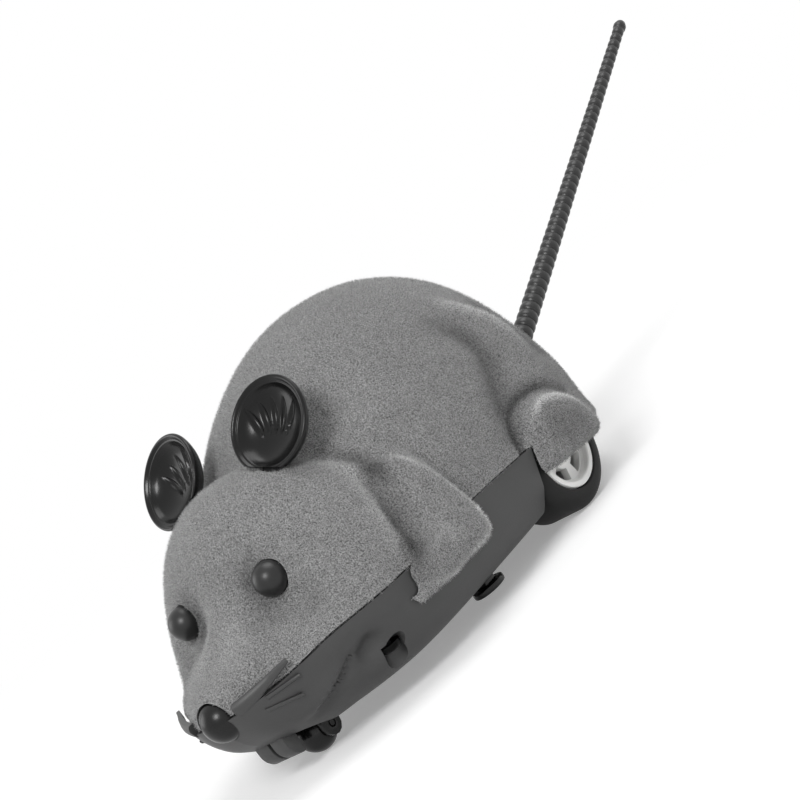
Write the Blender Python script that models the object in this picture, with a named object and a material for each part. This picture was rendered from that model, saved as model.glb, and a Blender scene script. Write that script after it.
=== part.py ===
"""Robotic mouse cat toy with a flocked shell, a moulded chassis, a geared rear axle and an antenna tail.

The mouse looks along -Y, its left side is +X, up is +Z and the floor is Z = 0. All lengths are metres.
"""

import math

import bmesh
import bpy
from mathutils import Vector

# Unit and common fits
mm = 0.001
part_gap = 0.3 * mm
merge_distance = 0.001 * mm
sharp_angle = math.radians(35)
least_half_width = 0.2 * mm
seam_lift = 0.05 * mm
tidy_distance = 0.005 * mm
cut_margin = 3 * mm

# Whole mouse
bay_front = 27 * mm
cell_length = 49.3 * mm
contact_room = 4.7 * mm
gearbox_set_back = 1.4 * mm
gearbox_length = 25 * mm
rear_room = 18 * mm
bay_back = bay_front + cell_length + contact_room
gearbox_front = bay_back + gearbox_set_back
gearbox_back = gearbox_front + gearbox_length
body_length = gearbox_back + rear_room
bay_half_width = 14.95 * mm
bay_wall = 1.05 * mm
side_room = 15 * mm
body_half_width = bay_half_width + bay_wall + side_room
body_height = 62.7 * mm
seam_height = 18.8 * mm
belly_height = 5 * mm

# Seam between shell and chassis: share of length, share of seam height
seam_shares = (
    (-0.1, 0.96),
    (0.06, 0.965),
    (0.1, 0.985),
    (0.15, 1.03),
    (0.27, 1.02),
    (0.45, 1.02),
    (0.56, 0.98),
    (0.67, 0.9),
    (0.76, 0.74),
    (0.86, 0.57),
    (1.1, 0.52),
)
seam_steps = 2

# Plan outline at the seam: share of length, share of half width
outline_shares = (
    (0.012, 0.0),
    (0.018, 0.17),
    (0.035, 0.29),
    (0.06, 0.39),
    (0.088, 0.475),
    (0.12, 0.595),
    (0.16, 0.725),
    (0.215, 0.85),
    (0.28, 0.922),
    (0.36, 0.962),
    (0.45, 0.982),
    (0.56, 0.997),
    (0.675, 1.0),
    (0.755, 0.98),
    (0.818, 0.92),
    (0.873, 0.806),
    (0.92, 0.65),
    (0.96, 0.45),
    (0.988, 0.235),
    (1.0, 0.0),
)
outline_steps = 1

# Shell
shell_wall = 1.8 * mm
shell_arch_points = 16
hollow_arch_points = 12
shell_skirt = 14 * mm
form_steps = 2
# Dome stations: share of length, share of half width, share of height, squareness
dome_shares = (
    (0.27, 0.71, 0.54, 2.0),
    (0.31, 0.84, 0.64, 2.0),
    (0.357, 0.929, 0.74, 2.05),
    (0.413, 0.966, 0.835, 2.1),
    (0.476, 0.985, 0.915, 2.15),
    (0.556, 0.997, 0.976, 2.2),
    (0.635, 1.0, 1.0, 2.2),
    (0.714, 0.994, 0.985, 2.2),
    (0.778, 0.965, 0.94, 2.2),
    (0.833, 0.9, 0.868, 2.2),
    (0.881, 0.79, 0.765, 2.2),
    (0.925, 0.64, 0.63, 2.1),
    (0.96, 0.45, 0.485, 2.0),
    (0.988, 0.235, 0.34, 2.0),
    (1.0, 0.07, 0.22, 2.0),
)
# Head stations, from the cheeks beside the nose to the neck
head_shares = (
    (0.04, 0.2, 0.32, 1.6),
    (0.064, 0.34, 0.355, 1.5),
    (0.088, 0.45, 0.38, 1.4),
    (0.12, 0.59, 0.42, 1.3),
    (0.16, 0.722, 0.54, 1.25),
    (0.19, 0.795, 0.65, 1.45),
    (0.222, 0.856, 0.718, 1.7),
    (0.262, 0.909, 0.763, 1.95),
    (0.302, 0.929, 0.775, 2.1),
    (0.341, 0.925, 0.762, 2.1),
    (0.376, 0.9, 0.73, 2.1),
    (0.407, 0.83, 0.68, 2.1),
    (0.43, 0.74, 0.62, 2.1),
)
# Snout stations, from above the nose to between the eyes
snout_shares = (
    (0.022, 0.08, 0.33, 2.0),
    (0.028, 0.16, 0.355, 2.2),
    (0.045, 0.235, 0.378, 2.3),
    (0.073, 0.31, 0.395, 2.3),
    (0.1, 0.35, 0.42, 2.3),
    (0.143, 0.34, 0.485, 2.2),
    (0.183, 0.26, 0.575, 2.0),
)

# Front legs: share of height, of the middle's place across and along, of half width and of half length
leg_shares = (
    (0.212, 0.74, 0.359, 0.3, 0.092),
    (0.24, 0.74, 0.359, 0.33, 0.097),
    (0.3, 0.73, 0.362, 0.325, 0.094),
    (0.38, 0.7, 0.37, 0.325, 0.086),
    (0.47, 0.65, 0.376, 0.32, 0.073),
    (0.54, 0.58, 0.38, 0.31, 0.056),
    (0.6, 0.5, 0.384, 0.28, 0.036),
    (0.63, 0.43, 0.386, 0.2, 0.018),
)
leg_front_squareness = 2.2
leg_rear_squareness = 4.5
leg_slope = -0.03
# Rear paws, which cap the wheels
paw_shares = (
    (0.168, 0.73, 0.714, 0.315, 0.088),
    (0.19, 0.73, 0.714, 0.34, 0.094),
    (0.245, 0.73, 0.715, 0.335, 0.09),
    (0.3, 0.73, 0.716, 0.315, 0.077),
    (0.345, 0.73, 0.718, 0.28, 0.054),
    (0.368, 0.73, 0.72, 0.22, 0.028),
)
paw_front_squareness = 2.5
paw_rear_squareness = 3.0
paw_slope = -0.11
limb_points = 16
limb_steps = 1

# Chassis levels: share of the way down, inset as share of half width, push back of the chin as share of length
chassis_level_shares = (
    (0.0, 0.01, 0.0),
    (0.32, 0.03, 0.012),
    (0.6, 0.075, 0.03),
    (0.82, 0.135, 0.062),
    (0.95, 0.19, 0.09),
    (1.0, 0.235, 0.105),
)
chin_reach_share = 0.36
flank_step = 0.008
chassis_wall = 2 * mm
floor_thickness = 1.6 * mm
chassis_headroom = 6 * mm

# Nose
nose_radius = 4 * mm
nose_along = 5 * mm
nose_height = 17.9 * mm

# Whiskers: share of length, share of seam height and share of half height at the root, then the same at the tip
whisker_shares = (
    (0.02, 0.985, 0.075, 0.09, 1.095, 0.024),
    (0.047, 0.925, 0.018, 0.09, 0.905, 0.016),
    (0.037, 0.825, 0.02, 0.076, 0.735, 0.016),
)
whisker_root_stand = 0.35 * mm
whisker_tip_stand = (1 * mm, 0.5 * mm, 0.5 * mm)
whisker_sunk = 0.8 * mm
whisker_free_root = 2  # the free whisker's thickness at its root, in sunk depths
whisker_stations = 5

# Mouth groove: share of length, share of seam height, share of full depth
mouth_shares = (
    (0.048, 0.475, 0.3),
    (0.07, 0.49, 0.8),
    (0.096, 0.545, 1.0),
    (0.12, 0.63, 1.0),
    (0.141, 0.745, 0.9),
    (0.152, 0.84, 0.4),
)
mouth_depth = 0.9 * mm
mouth_half_height = 1.3 * mm
mouth_end_share = 0.4
mouth_stand = 1 * mm

# Chin lugs in front of the caster
lug_width = 3.4 * mm
lug_split = 0.6 * mm
lug_front = 10 * mm
lug_back = 13.4 * mm
lug_bottom = 4 * mm
lug_rounding = 2.9 * mm
lug_curve_steps = 5

# Eyes
eye_radius = 3.3 * mm
eye_from_side = 18.9 * mm
eye_along = 22.8 * mm
eye_height = 31.9 * mm
eye_peg_radius = 1.1 * mm
eye_peg_length = 6 * mm
eye_splay = math.radians(32)
eye_lift = math.radians(18)

# Ears
ear_radius = 9.1 * mm
ear_from_side = 16.5 * mm
ear_along = 43.4 * mm
ear_height = 52 * mm
ear_lean = math.radians(37)
ear_splay = math.radians(9)
ear_profile_shares = (
    (0.0, -0.5),
    (0.4, -0.46),
    (0.7, -0.34),
    (0.9, -0.15),
    (1.0, 0.02),
    (0.975, 0.075),
    (0.91, 0.06),
    (0.74, -0.11),
    (0.52, -0.23),
    (0.27, -0.3),
    (0.0, -0.32),
)
ear_rim_row = 5  # the profile row where the outside turns over into the bowl
ear_segments = 20
ear_base_share = 0.84
ear_peg_width = 5 * mm
ear_peg_thickness = 1.6 * mm
ear_peg_length = 6 * mm
ear_peg_back = 2 * mm

# Tail
tail_from_back = 3.8 * mm
tail_height = 21.2 * mm
tail_length = 120 * mm
tail_rise = math.radians(19)
tail_base_radius = 2.5 * mm
tail_tip_radius = 1.35 * mm
tail_tip_length = 4 * mm
tail_rib_depth = 0.5 * mm
tail_rib_count = 46
tail_inside = 7 * mm
tail_flange_radius = 4.4 * mm
tail_flange_thickness = 1.4 * mm
tail_flange_depth = 3.4 * mm
tail_segments = 8
antenna_radius = 0.5 * mm
antenna_bore_radius = 0.8 * mm

# Wheels and rear axle
wheel_radius = 12 * mm
axle_from_gearbox_front = 7.2 * mm
tyre_from_side = 2.6 * mm
tyre_inner = 17.4 * mm
tyre_shoulder = 3 * mm
tyre_shoulder_steps = 3
tyre_inner_edge = 1 * mm
hub_radius = 8 * mm
hub_rim = 1.3 * mm
hub_dish = 1.6 * mm
hub_web = 1.6 * mm
hub_boss_radius = 2.6 * mm
hub_spoke_count = 5
hub_slot_half_angle = math.radians(22)
hub_slot_rim = 0.7 * mm
hub_slot_root = 1 * mm
axle_radius = 1 * mm
axle_overhang = 0.4 * mm
wheel_room = 1.2 * mm
well_inner = 16.5 * mm
well_wall = 1.5 * mm
wheel_side_room = 1.5 * mm

# Gears
gear_module = 0.5 * mm
pinion_tooth_count = 8
large_tooth_count = 28
small_tooth_count = 10
gear_tip_share = 0.92
gear_root_share = 1.15
tooth_shares = ((False, -0.33), (True, -0.13), (True, 0.13), (False, 0.33))
axle_tooth_count = 26
first_mesh_angle = math.radians(62)
second_mesh_angle = math.radians(-12)
tooth_backlash = 0.12 * mm
axle_gear_start = 8.7 * mm
axle_gear_end = 10.9 * mm
small_gear_start = 8.6 * mm
large_gear_start = 11.4 * mm
large_gear_end = 13.1 * mm
pinion_start = 11.3 * mm
pinion_end = 13.2 * mm
gear_shaft_radius = 0.75 * mm

# Gearbox
gearbox_inner = 7 * mm
gearbox_split = 13.4 * mm
gearbox_outer = 14.7 * mm
gearbox_wall = 1.2 * mm
gearbox_top = 29.2 * mm
bump_drop = 1.6 * mm
bump_half_length = 8.6 * mm

# Motor
motor_radius = 7.75 * mm
motor_half_flat = 6 * mm
motor_length = 16.4 * mm
motor_cap_length = 2.6 * mm
motor_front = 6.6 * mm
motor_boss_radius = 2.2 * mm
motor_shaft_radius = 0.75 * mm
motor_terminal = 1.8 * mm
motor_terminal_offset = 5 * mm
motor_terminal_width = 2 * mm
motor_terminal_thickness = 0.8 * mm

# Battery bay
cell_radius = 7.1 * mm
cell_nub_radius = 2.7 * mm
cell_nub = 1.2 * mm
cell_spacing = 14.9 * mm
cell_edge = 0.5 * mm
cell_floor_room = 0.6 * mm
contact_thickness = 0.4 * mm
contact_width = 9 * mm
contact_height = 9 * mm
leaf_width = 5 * mm
leaf_reach = 0.8 * mm
leaf_crest = 0.6 * mm
leaf_foot = 3.6 * mm
leaf_inner_foot = 2.2 * mm

# Battery door
door_thickness = 1.3 * mm
door_tab_half_width = 4 * mm
door_tab_length = 5.2 * mm
door_tongue_across = 11 * mm
door_tongue_half_width = 1.5 * mm
door_tongue_reach = 2.2 * mm
door_tongue_thickness = 1 * mm
door_slot_height = 2.8 * mm

# Receiver board
board_half_width = 13 * mm
board_front = 34 * mm
board_back = 74 * mm
board_lift = 2 * mm
board_thickness = 1.2 * mm
stud_radius = 2 * mm
stud_inset = 3 * mm
component_edge = 0.4 * mm
receiver_chip_place = (0 * mm, 52 * mm)
receiver_chip_size = (10 * mm, 4 * mm, 1.6 * mm)
driver_chip_place = (0.5 * mm, 64.5 * mm)
driver_chip_size = (7 * mm, 5 * mm, 1.6 * mm)
coil_place = (-5.5 * mm, 44.5 * mm)
coil_size = (7 * mm, 7 * mm, 8 * mm)
crystal_place = (5.8 * mm, 44.5 * mm)
crystal_size = (3.6 * mm, 5 * mm, 9 * mm)
capacitor_place = (-8 * mm, 60 * mm)
capacitor_radius = 2.5 * mm
capacitor_height = 7 * mm

# Front caster
caster_pivot_along = 16.5 * mm
caster_trail = 4.3 * mm
roller_radius = 4 * mm
roller_half_width = 3.3 * mm
roller_bore = 0.9 * mm
roller_pin_radius = 0.6 * mm
yoke_arm = 1.1 * mm
yoke_end_radius = 2.3 * mm
yoke_plate = 1.2 * mm
yoke_top = 10.6 * mm
yoke_nose_radius = 2.8 * mm
yoke_arc_steps = 6
roller_segments = 18
roller_ring_count = 10
pivot_radius = 1.5 * mm
pocket_along = 17.5 * mm
pocket_radius = 8.2 * mm
pocket_top = 11 * mm
pocket_ceiling = 1.6 * mm
pocket_wall = 1.4 * mm

# Power switch
switch_clearance = 1.45 * mm
switch_along = 58.8 * mm
switch_half_width = 2.25 * mm
switch_half_length = 5.4 * mm
switch_height = 4 * mm
switch_travel = 3 * mm
knob_bottom = 2.2 * mm
knob_flange = 1.2 * mm
knob_half_length = 4 * mm
knob_half_width = 3 * mm
stem_half_width = 1.2 * mm
stem_half_length = 1.8 * mm
switch_edge = 0.4 * mm
switch_roof = 1 * mm

# Screws
screw_radius = 1 * mm
screw_head_radius = 2.2 * mm
screw_head_height = 1.6 * mm
screw_crown_share = 0.8
screw_well_radius = 2.75 * mm
post_radius = 3.4 * mm
front_post_from_side = 9.6 * mm
front_post_along = 27 * mm
rear_post_from_side = 20.5 * mm
rear_post_from_back = 11.4 * mm
front_well_top = 11 * mm
rear_well_top = 7.4 * mm
small_screw_radius = 0.8 * mm
small_head_radius = 1.6 * mm
small_head_height = 1.1 * mm
front_screw_length = 10 * mm
rear_screw_length = 10 * mm
door_screw_length = 6 * mm
board_screw_length = 3 * mm
caster_screw_length = 3.4 * mm
washer_radius = 2.8 * mm
washer_thickness = 0.6 * mm
front_post_top = 23 * mm
rear_post_top = 20 * mm
door_post_top = 14 * mm
round_segments = 20
ball_segments = 16
ball_ring_count = 8
socket_segments = 14
socket_ring_count = 7
well_segments = 36
wheel_segments = 32
hub_segments = 26
motor_segments = 28
hole_segments = 12
screw_segments = 8

axle_height = wheel_radius
wheel_along = gearbox_front + axle_from_gearbox_front
tail_along = body_length - tail_from_back
eye_across = body_half_width - eye_from_side
ear_across = body_half_width - ear_from_side
tyre_outer = body_half_width - tyre_from_side
well_outer = tyre_outer + wheel_side_room
front_post = (body_half_width - front_post_from_side, front_post_along)
rear_post = (body_half_width - rear_post_from_side, body_length - rear_post_from_back)
floor_top = belly_height + floor_thickness
first_distance = gear_module * (small_tooth_count + axle_tooth_count) / 2
second_distance = gear_module * (pinion_tooth_count + large_tooth_count) / 2
compound_along = wheel_along + first_distance * math.cos(first_mesh_angle)
compound_height = axle_height + first_distance * math.sin(first_mesh_angle)
motor_along = compound_along + second_distance * math.cos(second_mesh_angle)
motor_height = compound_height + second_distance * math.sin(second_mesh_angle)
tail_end = tail_along + (tail_length + tail_tip_length) * math.cos(tail_rise)
frame_along = (nose_along - nose_radius + tail_end) / 2
cell_height = floor_top + cell_floor_room + cell_radius
bay_top = cell_height + cell_radius + part_gap
board_bottom = bay_top + bay_wall + board_lift
roller_along = caster_pivot_along + caster_trail
switch_across = bay_half_width + bay_wall + switch_clearance + switch_half_width
door_screw_along = bay_back + door_tab_length - door_tab_half_width / 2


def clear_scene():
    """Take away whatever the scene starts with."""
    for thing in list(bpy.data.objects):
        bpy.data.objects.remove(thing, do_unlink=True)


def finish(name, colour, roughness, metallic=0.0):
    """A plain surface finish."""
    made = bpy.data.materials.new(name)
    made.use_nodes = True
    shader = made.node_tree.nodes["Principled BSDF"]
    shader.inputs["Base Color"].default_value = (*colour, 1.0)
    shader.inputs["Roughness"].default_value = roughness
    shader.inputs["Metallic"].default_value = metallic
    return made


def piece(name, form, surface, pivot=(0.0, 0.0, 0.0)):
    """Put one named part in the scene, with its own origin at its pivot."""
    bmesh.ops.recalc_face_normals(form, faces=form.faces)
    bmesh.ops.translate(form, verts=form.verts, vec=-Vector(pivot))
    data = bpy.data.meshes.new(name)
    form.to_mesh(data)
    form.free()
    made = bpy.data.objects.new(name, data)
    made.location = Vector(pivot) - Vector((0.0, frame_along, 0.0))
    bpy.context.collection.objects.link(made)
    if surface is not None:
        data.materials.append(surface)
    data.shade_smooth()
    data.set_sharp_from_angle(angle=sharp_angle)
    return made


def guide(name, form):
    """A shape that only cuts or fills another one."""
    made = piece(name, form, None)
    made.hide_render = True
    made.display_type = "WIRE"
    return made


def combine(target, tool, operation, solver="EXACT"):
    """Cut a shape away from another one or add it, and merge what all but touches."""
    step = target.modifiers.new(tool.name, "BOOLEAN")
    step.operation = operation
    step.solver = solver
    step.object = tool
    tidy = target.modifiers.new(tool.name + "_tidy", "WELD")
    tidy.merge_threshold = tidy_distance


def sculpt(target, tool, operation):
    """The same for the freely curved mouldings, whose skins meet at shallow angles."""
    combine(target, tool, operation, "MANIFOLD")


def gather(forms):
    """Join separate forms in one."""
    whole = bmesh.new()
    for form in forms:
        bmesh.ops.recalc_face_normals(form, faces=form.faces)
        data = bpy.data.meshes.new("joined")
        form.to_mesh(data)
        form.free()
        whole.from_mesh(data)
        bpy.data.meshes.remove(data)
    return whole


def smooth_value(values, t):
    """A value between the middle two of four, on the smooth curve through them all."""
    a, b, c, d = values
    bend = (2 * a - 5 * b + 4 * c - d) * t * t + (3 * b - a - 3 * c + d) * t ** 3
    return (2 * b + (c - a) * t + bend) / 2


def curve_through(rows, steps):
    """Round a table of stations into a smooth, denser one."""
    dense = []
    for index in range(len(rows) - 1):
        before = rows[max(index - 1, 0)]
        start = rows[index]
        end = rows[index + 1]
        after = rows[min(index + 2, len(rows) - 1)]
        for step in range(steps):
            t = step / steps
            dense.append(tuple(smooth_value(values, t) for values in zip(before, start, end, after)))
    dense.append(tuple(float(value) for value in rows[-1]))
    return dense


def reading(table, place, column):
    """Straight reading between the rows of a table."""
    for low, high in zip(table, table[1:]):
        if low[0] <= place <= high[0]:
            return low[column] + (high[column] - low[column]) * (place - low[0]) / (high[0] - low[0])
    return table[0][column] if place < table[0][0] else table[-1][column]


seam_curve = curve_through(seam_shares, seam_steps)
outline_curve = curve_through(outline_shares, outline_steps)


def seam_at(along):
    """Height of the seam at a place along the body."""
    return seam_height * reading(seam_curve, along / body_length, 1)


def skin(rings):
    """Cover a row of equal rings with faces and close both ends."""
    form = bmesh.new()
    rows = []
    for ring in rings:
        rows.append([form.verts.new(point) for point in ring])
    for lower, upper in zip(rows, rows[1:]):
        count = len(lower)
        for index in range(count):
            after = (index + 1) % count
            form.faces.new((lower[index], lower[after], upper[after], upper[index]))
    form.faces.new(rows[0])
    form.faces.new(list(reversed(rows[-1])))
    bmesh.ops.remove_doubles(form, verts=form.verts, dist=merge_distance)
    bmesh.ops.dissolve_degenerate(form, edges=form.edges, dist=merge_distance)
    return form


def turned(profile, centre, axis, segments, closed=False):
    """Turn a profile of (radius, distance along) about an axis; flat ends get one face."""
    points = list(profile)
    if not closed and points[0][0] == 0 and points[0][1] == points[1][1]:
        points.pop(0)
    if not closed and points[-1][0] == 0 and points[-1][1] == points[-2][1]:
        points.pop()
    form = bmesh.new()
    axis = Vector(axis).normalized()
    side = axis.orthogonal().normalized()
    centre = Vector(centre)
    verts = [form.verts.new(centre + side * radius + axis * along) for radius, along in points]
    edges = [form.edges.new(pair) for pair in zip(verts, verts[1:])]
    if closed:
        edges.append(form.edges.new((verts[-1], verts[0])))
    outline = verts + edges
    turn = 2 * math.pi
    bmesh.ops.spin(form, geom=outline, cent=centre, axis=axis, angle=turn, steps=segments, use_merge=True)
    bmesh.ops.remove_doubles(form, verts=form.verts, dist=merge_distance)
    bmesh.ops.dissolve_degenerate(form, edges=form.edges, dist=merge_distance)
    rims = [edge for edge in form.edges if edge.is_boundary]
    if rims:
        bmesh.ops.holes_fill(form, edges=rims)
    return form


def rod(centre, axis, radius, start, end, segments=round_segments):
    """A plain cylinder between two distances along its axis."""
    return turned(((0.0, start), (radius, start), (radius, end), (0.0, end)), centre, axis, segments)


def tube(centre, axis, outer, inner, start, end, segments=round_segments):
    """A plain ring or tube."""
    section = ((inner, start), (outer, start), (outer, end), (inner, end))
    return turned(section, centre, axis, segments, closed=True)


def ball(centre, radius, segments=ball_segments, rings=ball_ring_count):
    """A ball turned about the vertical."""
    profile = [(0.0, -radius)]
    for index in range(1, rings):
        angle = math.pi * index / rings
        profile.append((radius * math.sin(angle), -radius * math.cos(angle)))
    profile.append((0.0, radius))
    return turned(profile, centre, (0, 0, 1), segments)


def block(low, high, bevel=0.0):
    """A box between two corners, its edges bevelled if asked."""
    form = bmesh.new()
    bmesh.ops.create_cube(form, size=1.0)
    for vert in form.verts:
        vert.co = Vector([a if side < 0 else b for side, a, b in zip(vert.co, low, high)])
    if bevel > 0:
        edges = form.edges[:]
        bmesh.ops.bevel(form, geom=edges, offset=bevel, segments=1, profile=0.5, affect="EDGES", material=-1)
    return form


def prism(outline, axis, start, end):
    """Raise a flat outline along an axis: x takes (y, z) outlines, y takes (x, z), z takes (x, y)."""
    def place(point, level):
        a, b = point
        return {"x": (level, a, b), "y": (a, level, b), "z": (a, b, level)}[axis]
    return skin([[place(point, level) for point in outline] for level in (start, end)])


def arch(along, half_width, top, squareness, inset, bottom, count):
    """One cross-section of the shell: an arch on straight legs."""
    half_width = max(half_width - inset, least_half_width)
    foot = seam_at(along)
    rise = max(top - inset - foot, part_gap)
    points = [(half_width, along, bottom)]
    for index in range(count + 1):
        angle = math.pi * index / count
        across = math.copysign(abs(math.cos(angle)) ** (2 / squareness), math.cos(angle))
        up = abs(math.sin(angle)) ** (2 / squareness)
        points.append((half_width * across, along, foot + rise * up))
    points.append((-half_width, along, bottom))
    return points


def shell_form(shares, inset):
    """A form skinned over its stations, drawn in by the inset on every side."""
    rows = curve_through(shares, form_steps if inset == 0 else 1)
    count = shell_arch_points if inset == 0 else hollow_arch_points
    start = rows[0][0] * body_length
    end = rows[-1][0] * body_length
    middle = (start + end) / 2
    shrink = 1 - 2 * inset / (end - start)
    bottom = seam_height - shell_skirt
    rings = []
    for along_share, width_share, height_share, squareness in rows:
        along = middle + (along_share * body_length - middle) * shrink
        width = width_share * body_half_width
        height = height_share * body_height
        rings.append(arch(along, width, height, squareness, inset, bottom, count))
    return skin(rings)


def seam_slab(lift, far):
    """A wide slab whose one face follows the seam, raised by the lift."""
    half = body_half_width * 2
    rings = []
    for along_share, _ in seam_curve:
        along = along_share * body_length
        edge = seam_at(along) + lift
        rings.append([(half, along, edge), (-half, along, edge), (-half, along, far), (half, along, far)])
    return skin(rings)


def limb(shares, front_squareness, rear_squareness, slope, side):
    """A leg or paw stacked from level rings."""
    rings = []
    for height, across, along, half_width, half_length in curve_through(shares, limb_steps):
        ring = []
        for index in range(limb_points):
            angle = 2 * math.pi * index / limb_points
            c = math.cos(angle)
            s = math.sin(angle)
            power = 2 / (rear_squareness if s > 0 else front_squareness)
            x = body_half_width * (across + half_width * math.copysign(abs(c) ** power, c))
            forward = half_length * math.copysign(abs(s) ** power, s)
            y = body_length * (along + forward)
            ring.append((side * x, y, height * body_height + slope * forward * body_length))
        rings.append(ring)
    return skin(rings)


def level_place(width, along, down, inset):
    """Where an outline point lies at one level, drawn in and with the chin pushed back."""
    draw = inset + reading(chassis_level_shares, down, 1) * body_half_width
    middle = body_length / 2
    x = width * (1 - draw / body_half_width)
    y = middle + (along - middle) * (1 - draw / middle)
    fade = max(0.0, 1 - y / (chin_reach_share * body_length))
    return Vector((x, y + reading(chassis_level_shares, down, 2) * body_length * fade * fade))


def level_ring(down, inset, height):
    """Outline of the chassis at one level."""
    shares = outline_curve if inset <= 0 else outline_shares
    side = [level_place(width * body_half_width, along * body_length, down, inset) for along, width in shares]
    loop = side + [Vector((-point.x, point.y)) for point in reversed(side[1:-1])]
    return [(point.x, point.y, height) for point in loop]


def chassis_form(inset, bottom):
    """The chassis tub as stacked outlines that run on above the seam."""
    rings = [level_ring(0.0, inset, seam_height + chassis_headroom)]
    for down, _, _ in chassis_level_shares:
        rings.append(level_ring(down, inset, seam_height + (bottom - seam_height) * down))
    return skin(rings)


def flank_point(along_share, height, stand, side):
    """A place on the chassis flank, standing out from it by a little."""
    down = min(max((seam_height - height) / (seam_height - belly_height), 0.0), 1.0)
    near, here, far = (
        level_place(reading(outline_curve, share, 1) * body_half_width, share * body_length, down, 0.0)
        for share in (along_share - flank_step, along_share, along_share + flank_step)
    )
    tangent = (far - near).normalized()
    place = here + Vector((tangent.y, -tangent.x)) * stand
    return Vector((side * place.x, place.y, height))


def whisker(index, side, spare):
    """One raised whisker line, its tip standing off the muzzle."""
    root_along, root_height, root_half, tip_along, tip_height, tip_half = whisker_shares[index]
    longer = spare / body_length
    rings = []
    for step in range(whisker_stations + 1):
        t = step / whisker_stations
        along = root_along + (tip_along - root_along) * t + longer * (2 * t - 1)
        height = seam_height * (root_height + (tip_height - root_height) * t)
        stand = whisker_root_stand + (whisker_tip_stand[index] - whisker_root_stand) * t * t + spare
        half = seam_height * (root_half + (tip_half - root_half) * t) + spare
        deep = -whisker_sunk
        if index == 0:
            deep = stand - whisker_sunk * (whisker_free_root - t) - 2 * spare
        outer_low = flank_point(along, height - half, stand, side)
        outer_high = flank_point(along, height + half, stand, side)
        inner_high = flank_point(along, height + half, deep, side)
        inner_low = flank_point(along, height - half, deep, side)
        rings.append([outer_low, outer_high, inner_high, inner_low])
    return skin(rings)


def mouth(side):
    """The smiling groove along one cheek."""
    rings = []
    for along, height_share, depth_share in curve_through(mouth_shares, 2):
        height = seam_height * height_share
        half = mouth_half_height * (mouth_end_share + (1 - mouth_end_share) * depth_share)
        depth = mouth_depth * depth_share
        corners = []
        for lift, stand in ((-half, mouth_stand), (half, mouth_stand), (half / 2, -depth), (-half / 2, -depth)):
            corners.append(flank_point(along, height + lift, stand, side))
        rings.append(corners)
    return skin(rings)


def chin_lug(side):
    """One fin under the chin, its lower front corner well rounded."""
    outline = [(lug_back, pocket_top + pocket_ceiling / 2), (lug_front, pocket_top + pocket_ceiling / 2)]
    for step in range(lug_curve_steps + 1):
        angle = math.pi + math.pi / 2 * step / lug_curve_steps
        along = lug_front + lug_rounding * (1 + math.cos(angle))
        outline.append((along, lug_bottom + lug_rounding * (1 + math.sin(angle))))
    outline.append((lug_back, lug_bottom))
    ends = sorted((side * lug_split / 2, side * (lug_split / 2 + lug_width)))
    return prism(outline, "x", *ends)


def direction(splay, lift, side):
    """A direction looking forward, turned outwards and up."""
    return Vector((side * math.sin(splay) * math.cos(lift), -math.cos(splay) * math.cos(lift), math.sin(lift)))


def slanted_block(centre, axes, low, high):
    """A box between two corners measured along three slanted axes."""
    form = block(low, high)
    for vert in form.verts:
        vert.co = centre + axes[0] * vert.co.x + axes[1] * vert.co.y + axes[2] * vert.co.z
    return form


def ear_axes(side):
    """Across, up and outward directions of an ear."""
    facing = direction(ear_splay, ear_lean, side)
    across = Vector((0, 0, 1)).cross(facing).normalized()
    up = facing.cross(across)
    return across, up, facing


def ear_dish(side, spare):
    """The round bowl of an ear."""
    profile = []
    for index, (radius, along) in enumerate(ear_profile_shares):
        grown = ear_radius + (spare if radius > 0 else 0.0)
        lift = -spare if index < ear_rim_row else spare
        profile.append((radius * grown, along * ear_radius + lift))
    centre = (side * ear_across, ear_along, ear_height)
    return turned(profile, centre, ear_axes(side)[2], ear_segments)


def ear_peg(side, spare):
    """The tongue that plugs an ear in the shell."""
    across, up, facing = ear_axes(side)
    centre = Vector((side * ear_across, ear_along, ear_height))
    base = -ear_base_share * ear_radius
    low = (-ear_peg_width / 2 - spare, base - ear_peg_length - spare, -ear_peg_back - ear_peg_thickness - spare)
    high = (ear_peg_width / 2 + spare, base + ear_peg_thickness + spare, -ear_peg_back + spare)
    return slanted_block(centre, (across, up, facing), low, high)


def ear_trim(side):
    """The block that cuts an ear's lower edge straight."""
    across, up, facing = ear_axes(side)
    centre = Vector((side * ear_across, ear_along, ear_height))
    low = (-ear_radius, -2 * ear_radius, -ear_radius)
    high = (ear_radius, -ear_base_share * ear_radius, ear_radius)
    return slanted_block(centre, (across, up, facing), low, high)


def eye_peg(side, spare):
    """The peg behind an eye."""
    facing = direction(eye_splay, eye_lift, side)
    place = (side * eye_across, eye_along, eye_height)
    return rod(place, facing, eye_peg_radius + spare, -eye_peg_length - spare, 0.0, hole_segments)


def gear_outline(teeth, centre, turn):
    """Outline of a spur gear with straight-sided teeth."""
    pitch = teeth * gear_module / 2
    tip = pitch + gear_module * gear_tip_share
    root = pitch - gear_module * gear_root_share
    points = []
    step = 2 * math.pi / teeth
    slack = tooth_backlash / (2 * pitch)
    for index in range(teeth):
        middle = turn + index * step
        for reach, share in tooth_shares:
            radius = tip if reach else root
            angle = middle + step * share - math.copysign(slack / 2, share)
            points.append((centre[0] + radius * math.cos(angle), centre[1] + radius * math.sin(angle)))
    return points


def tail_direction():
    """The way the tail points."""
    return Vector((0, math.cos(tail_rise), math.sin(tail_rise)))


def post_rods(radius, starts, ends):
    """Upright rods at the four shell screws: front pair, then rear pair."""
    forms = []
    for (across, along), start, end in ((front_post, starts[0], ends[0]), (rear_post, starts[1], ends[1])):
        for side in (1, -1):
            forms.append(rod((side * across, along, 0), (0, 0, 1), radius, start, end, hole_segments))
    return forms


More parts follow.
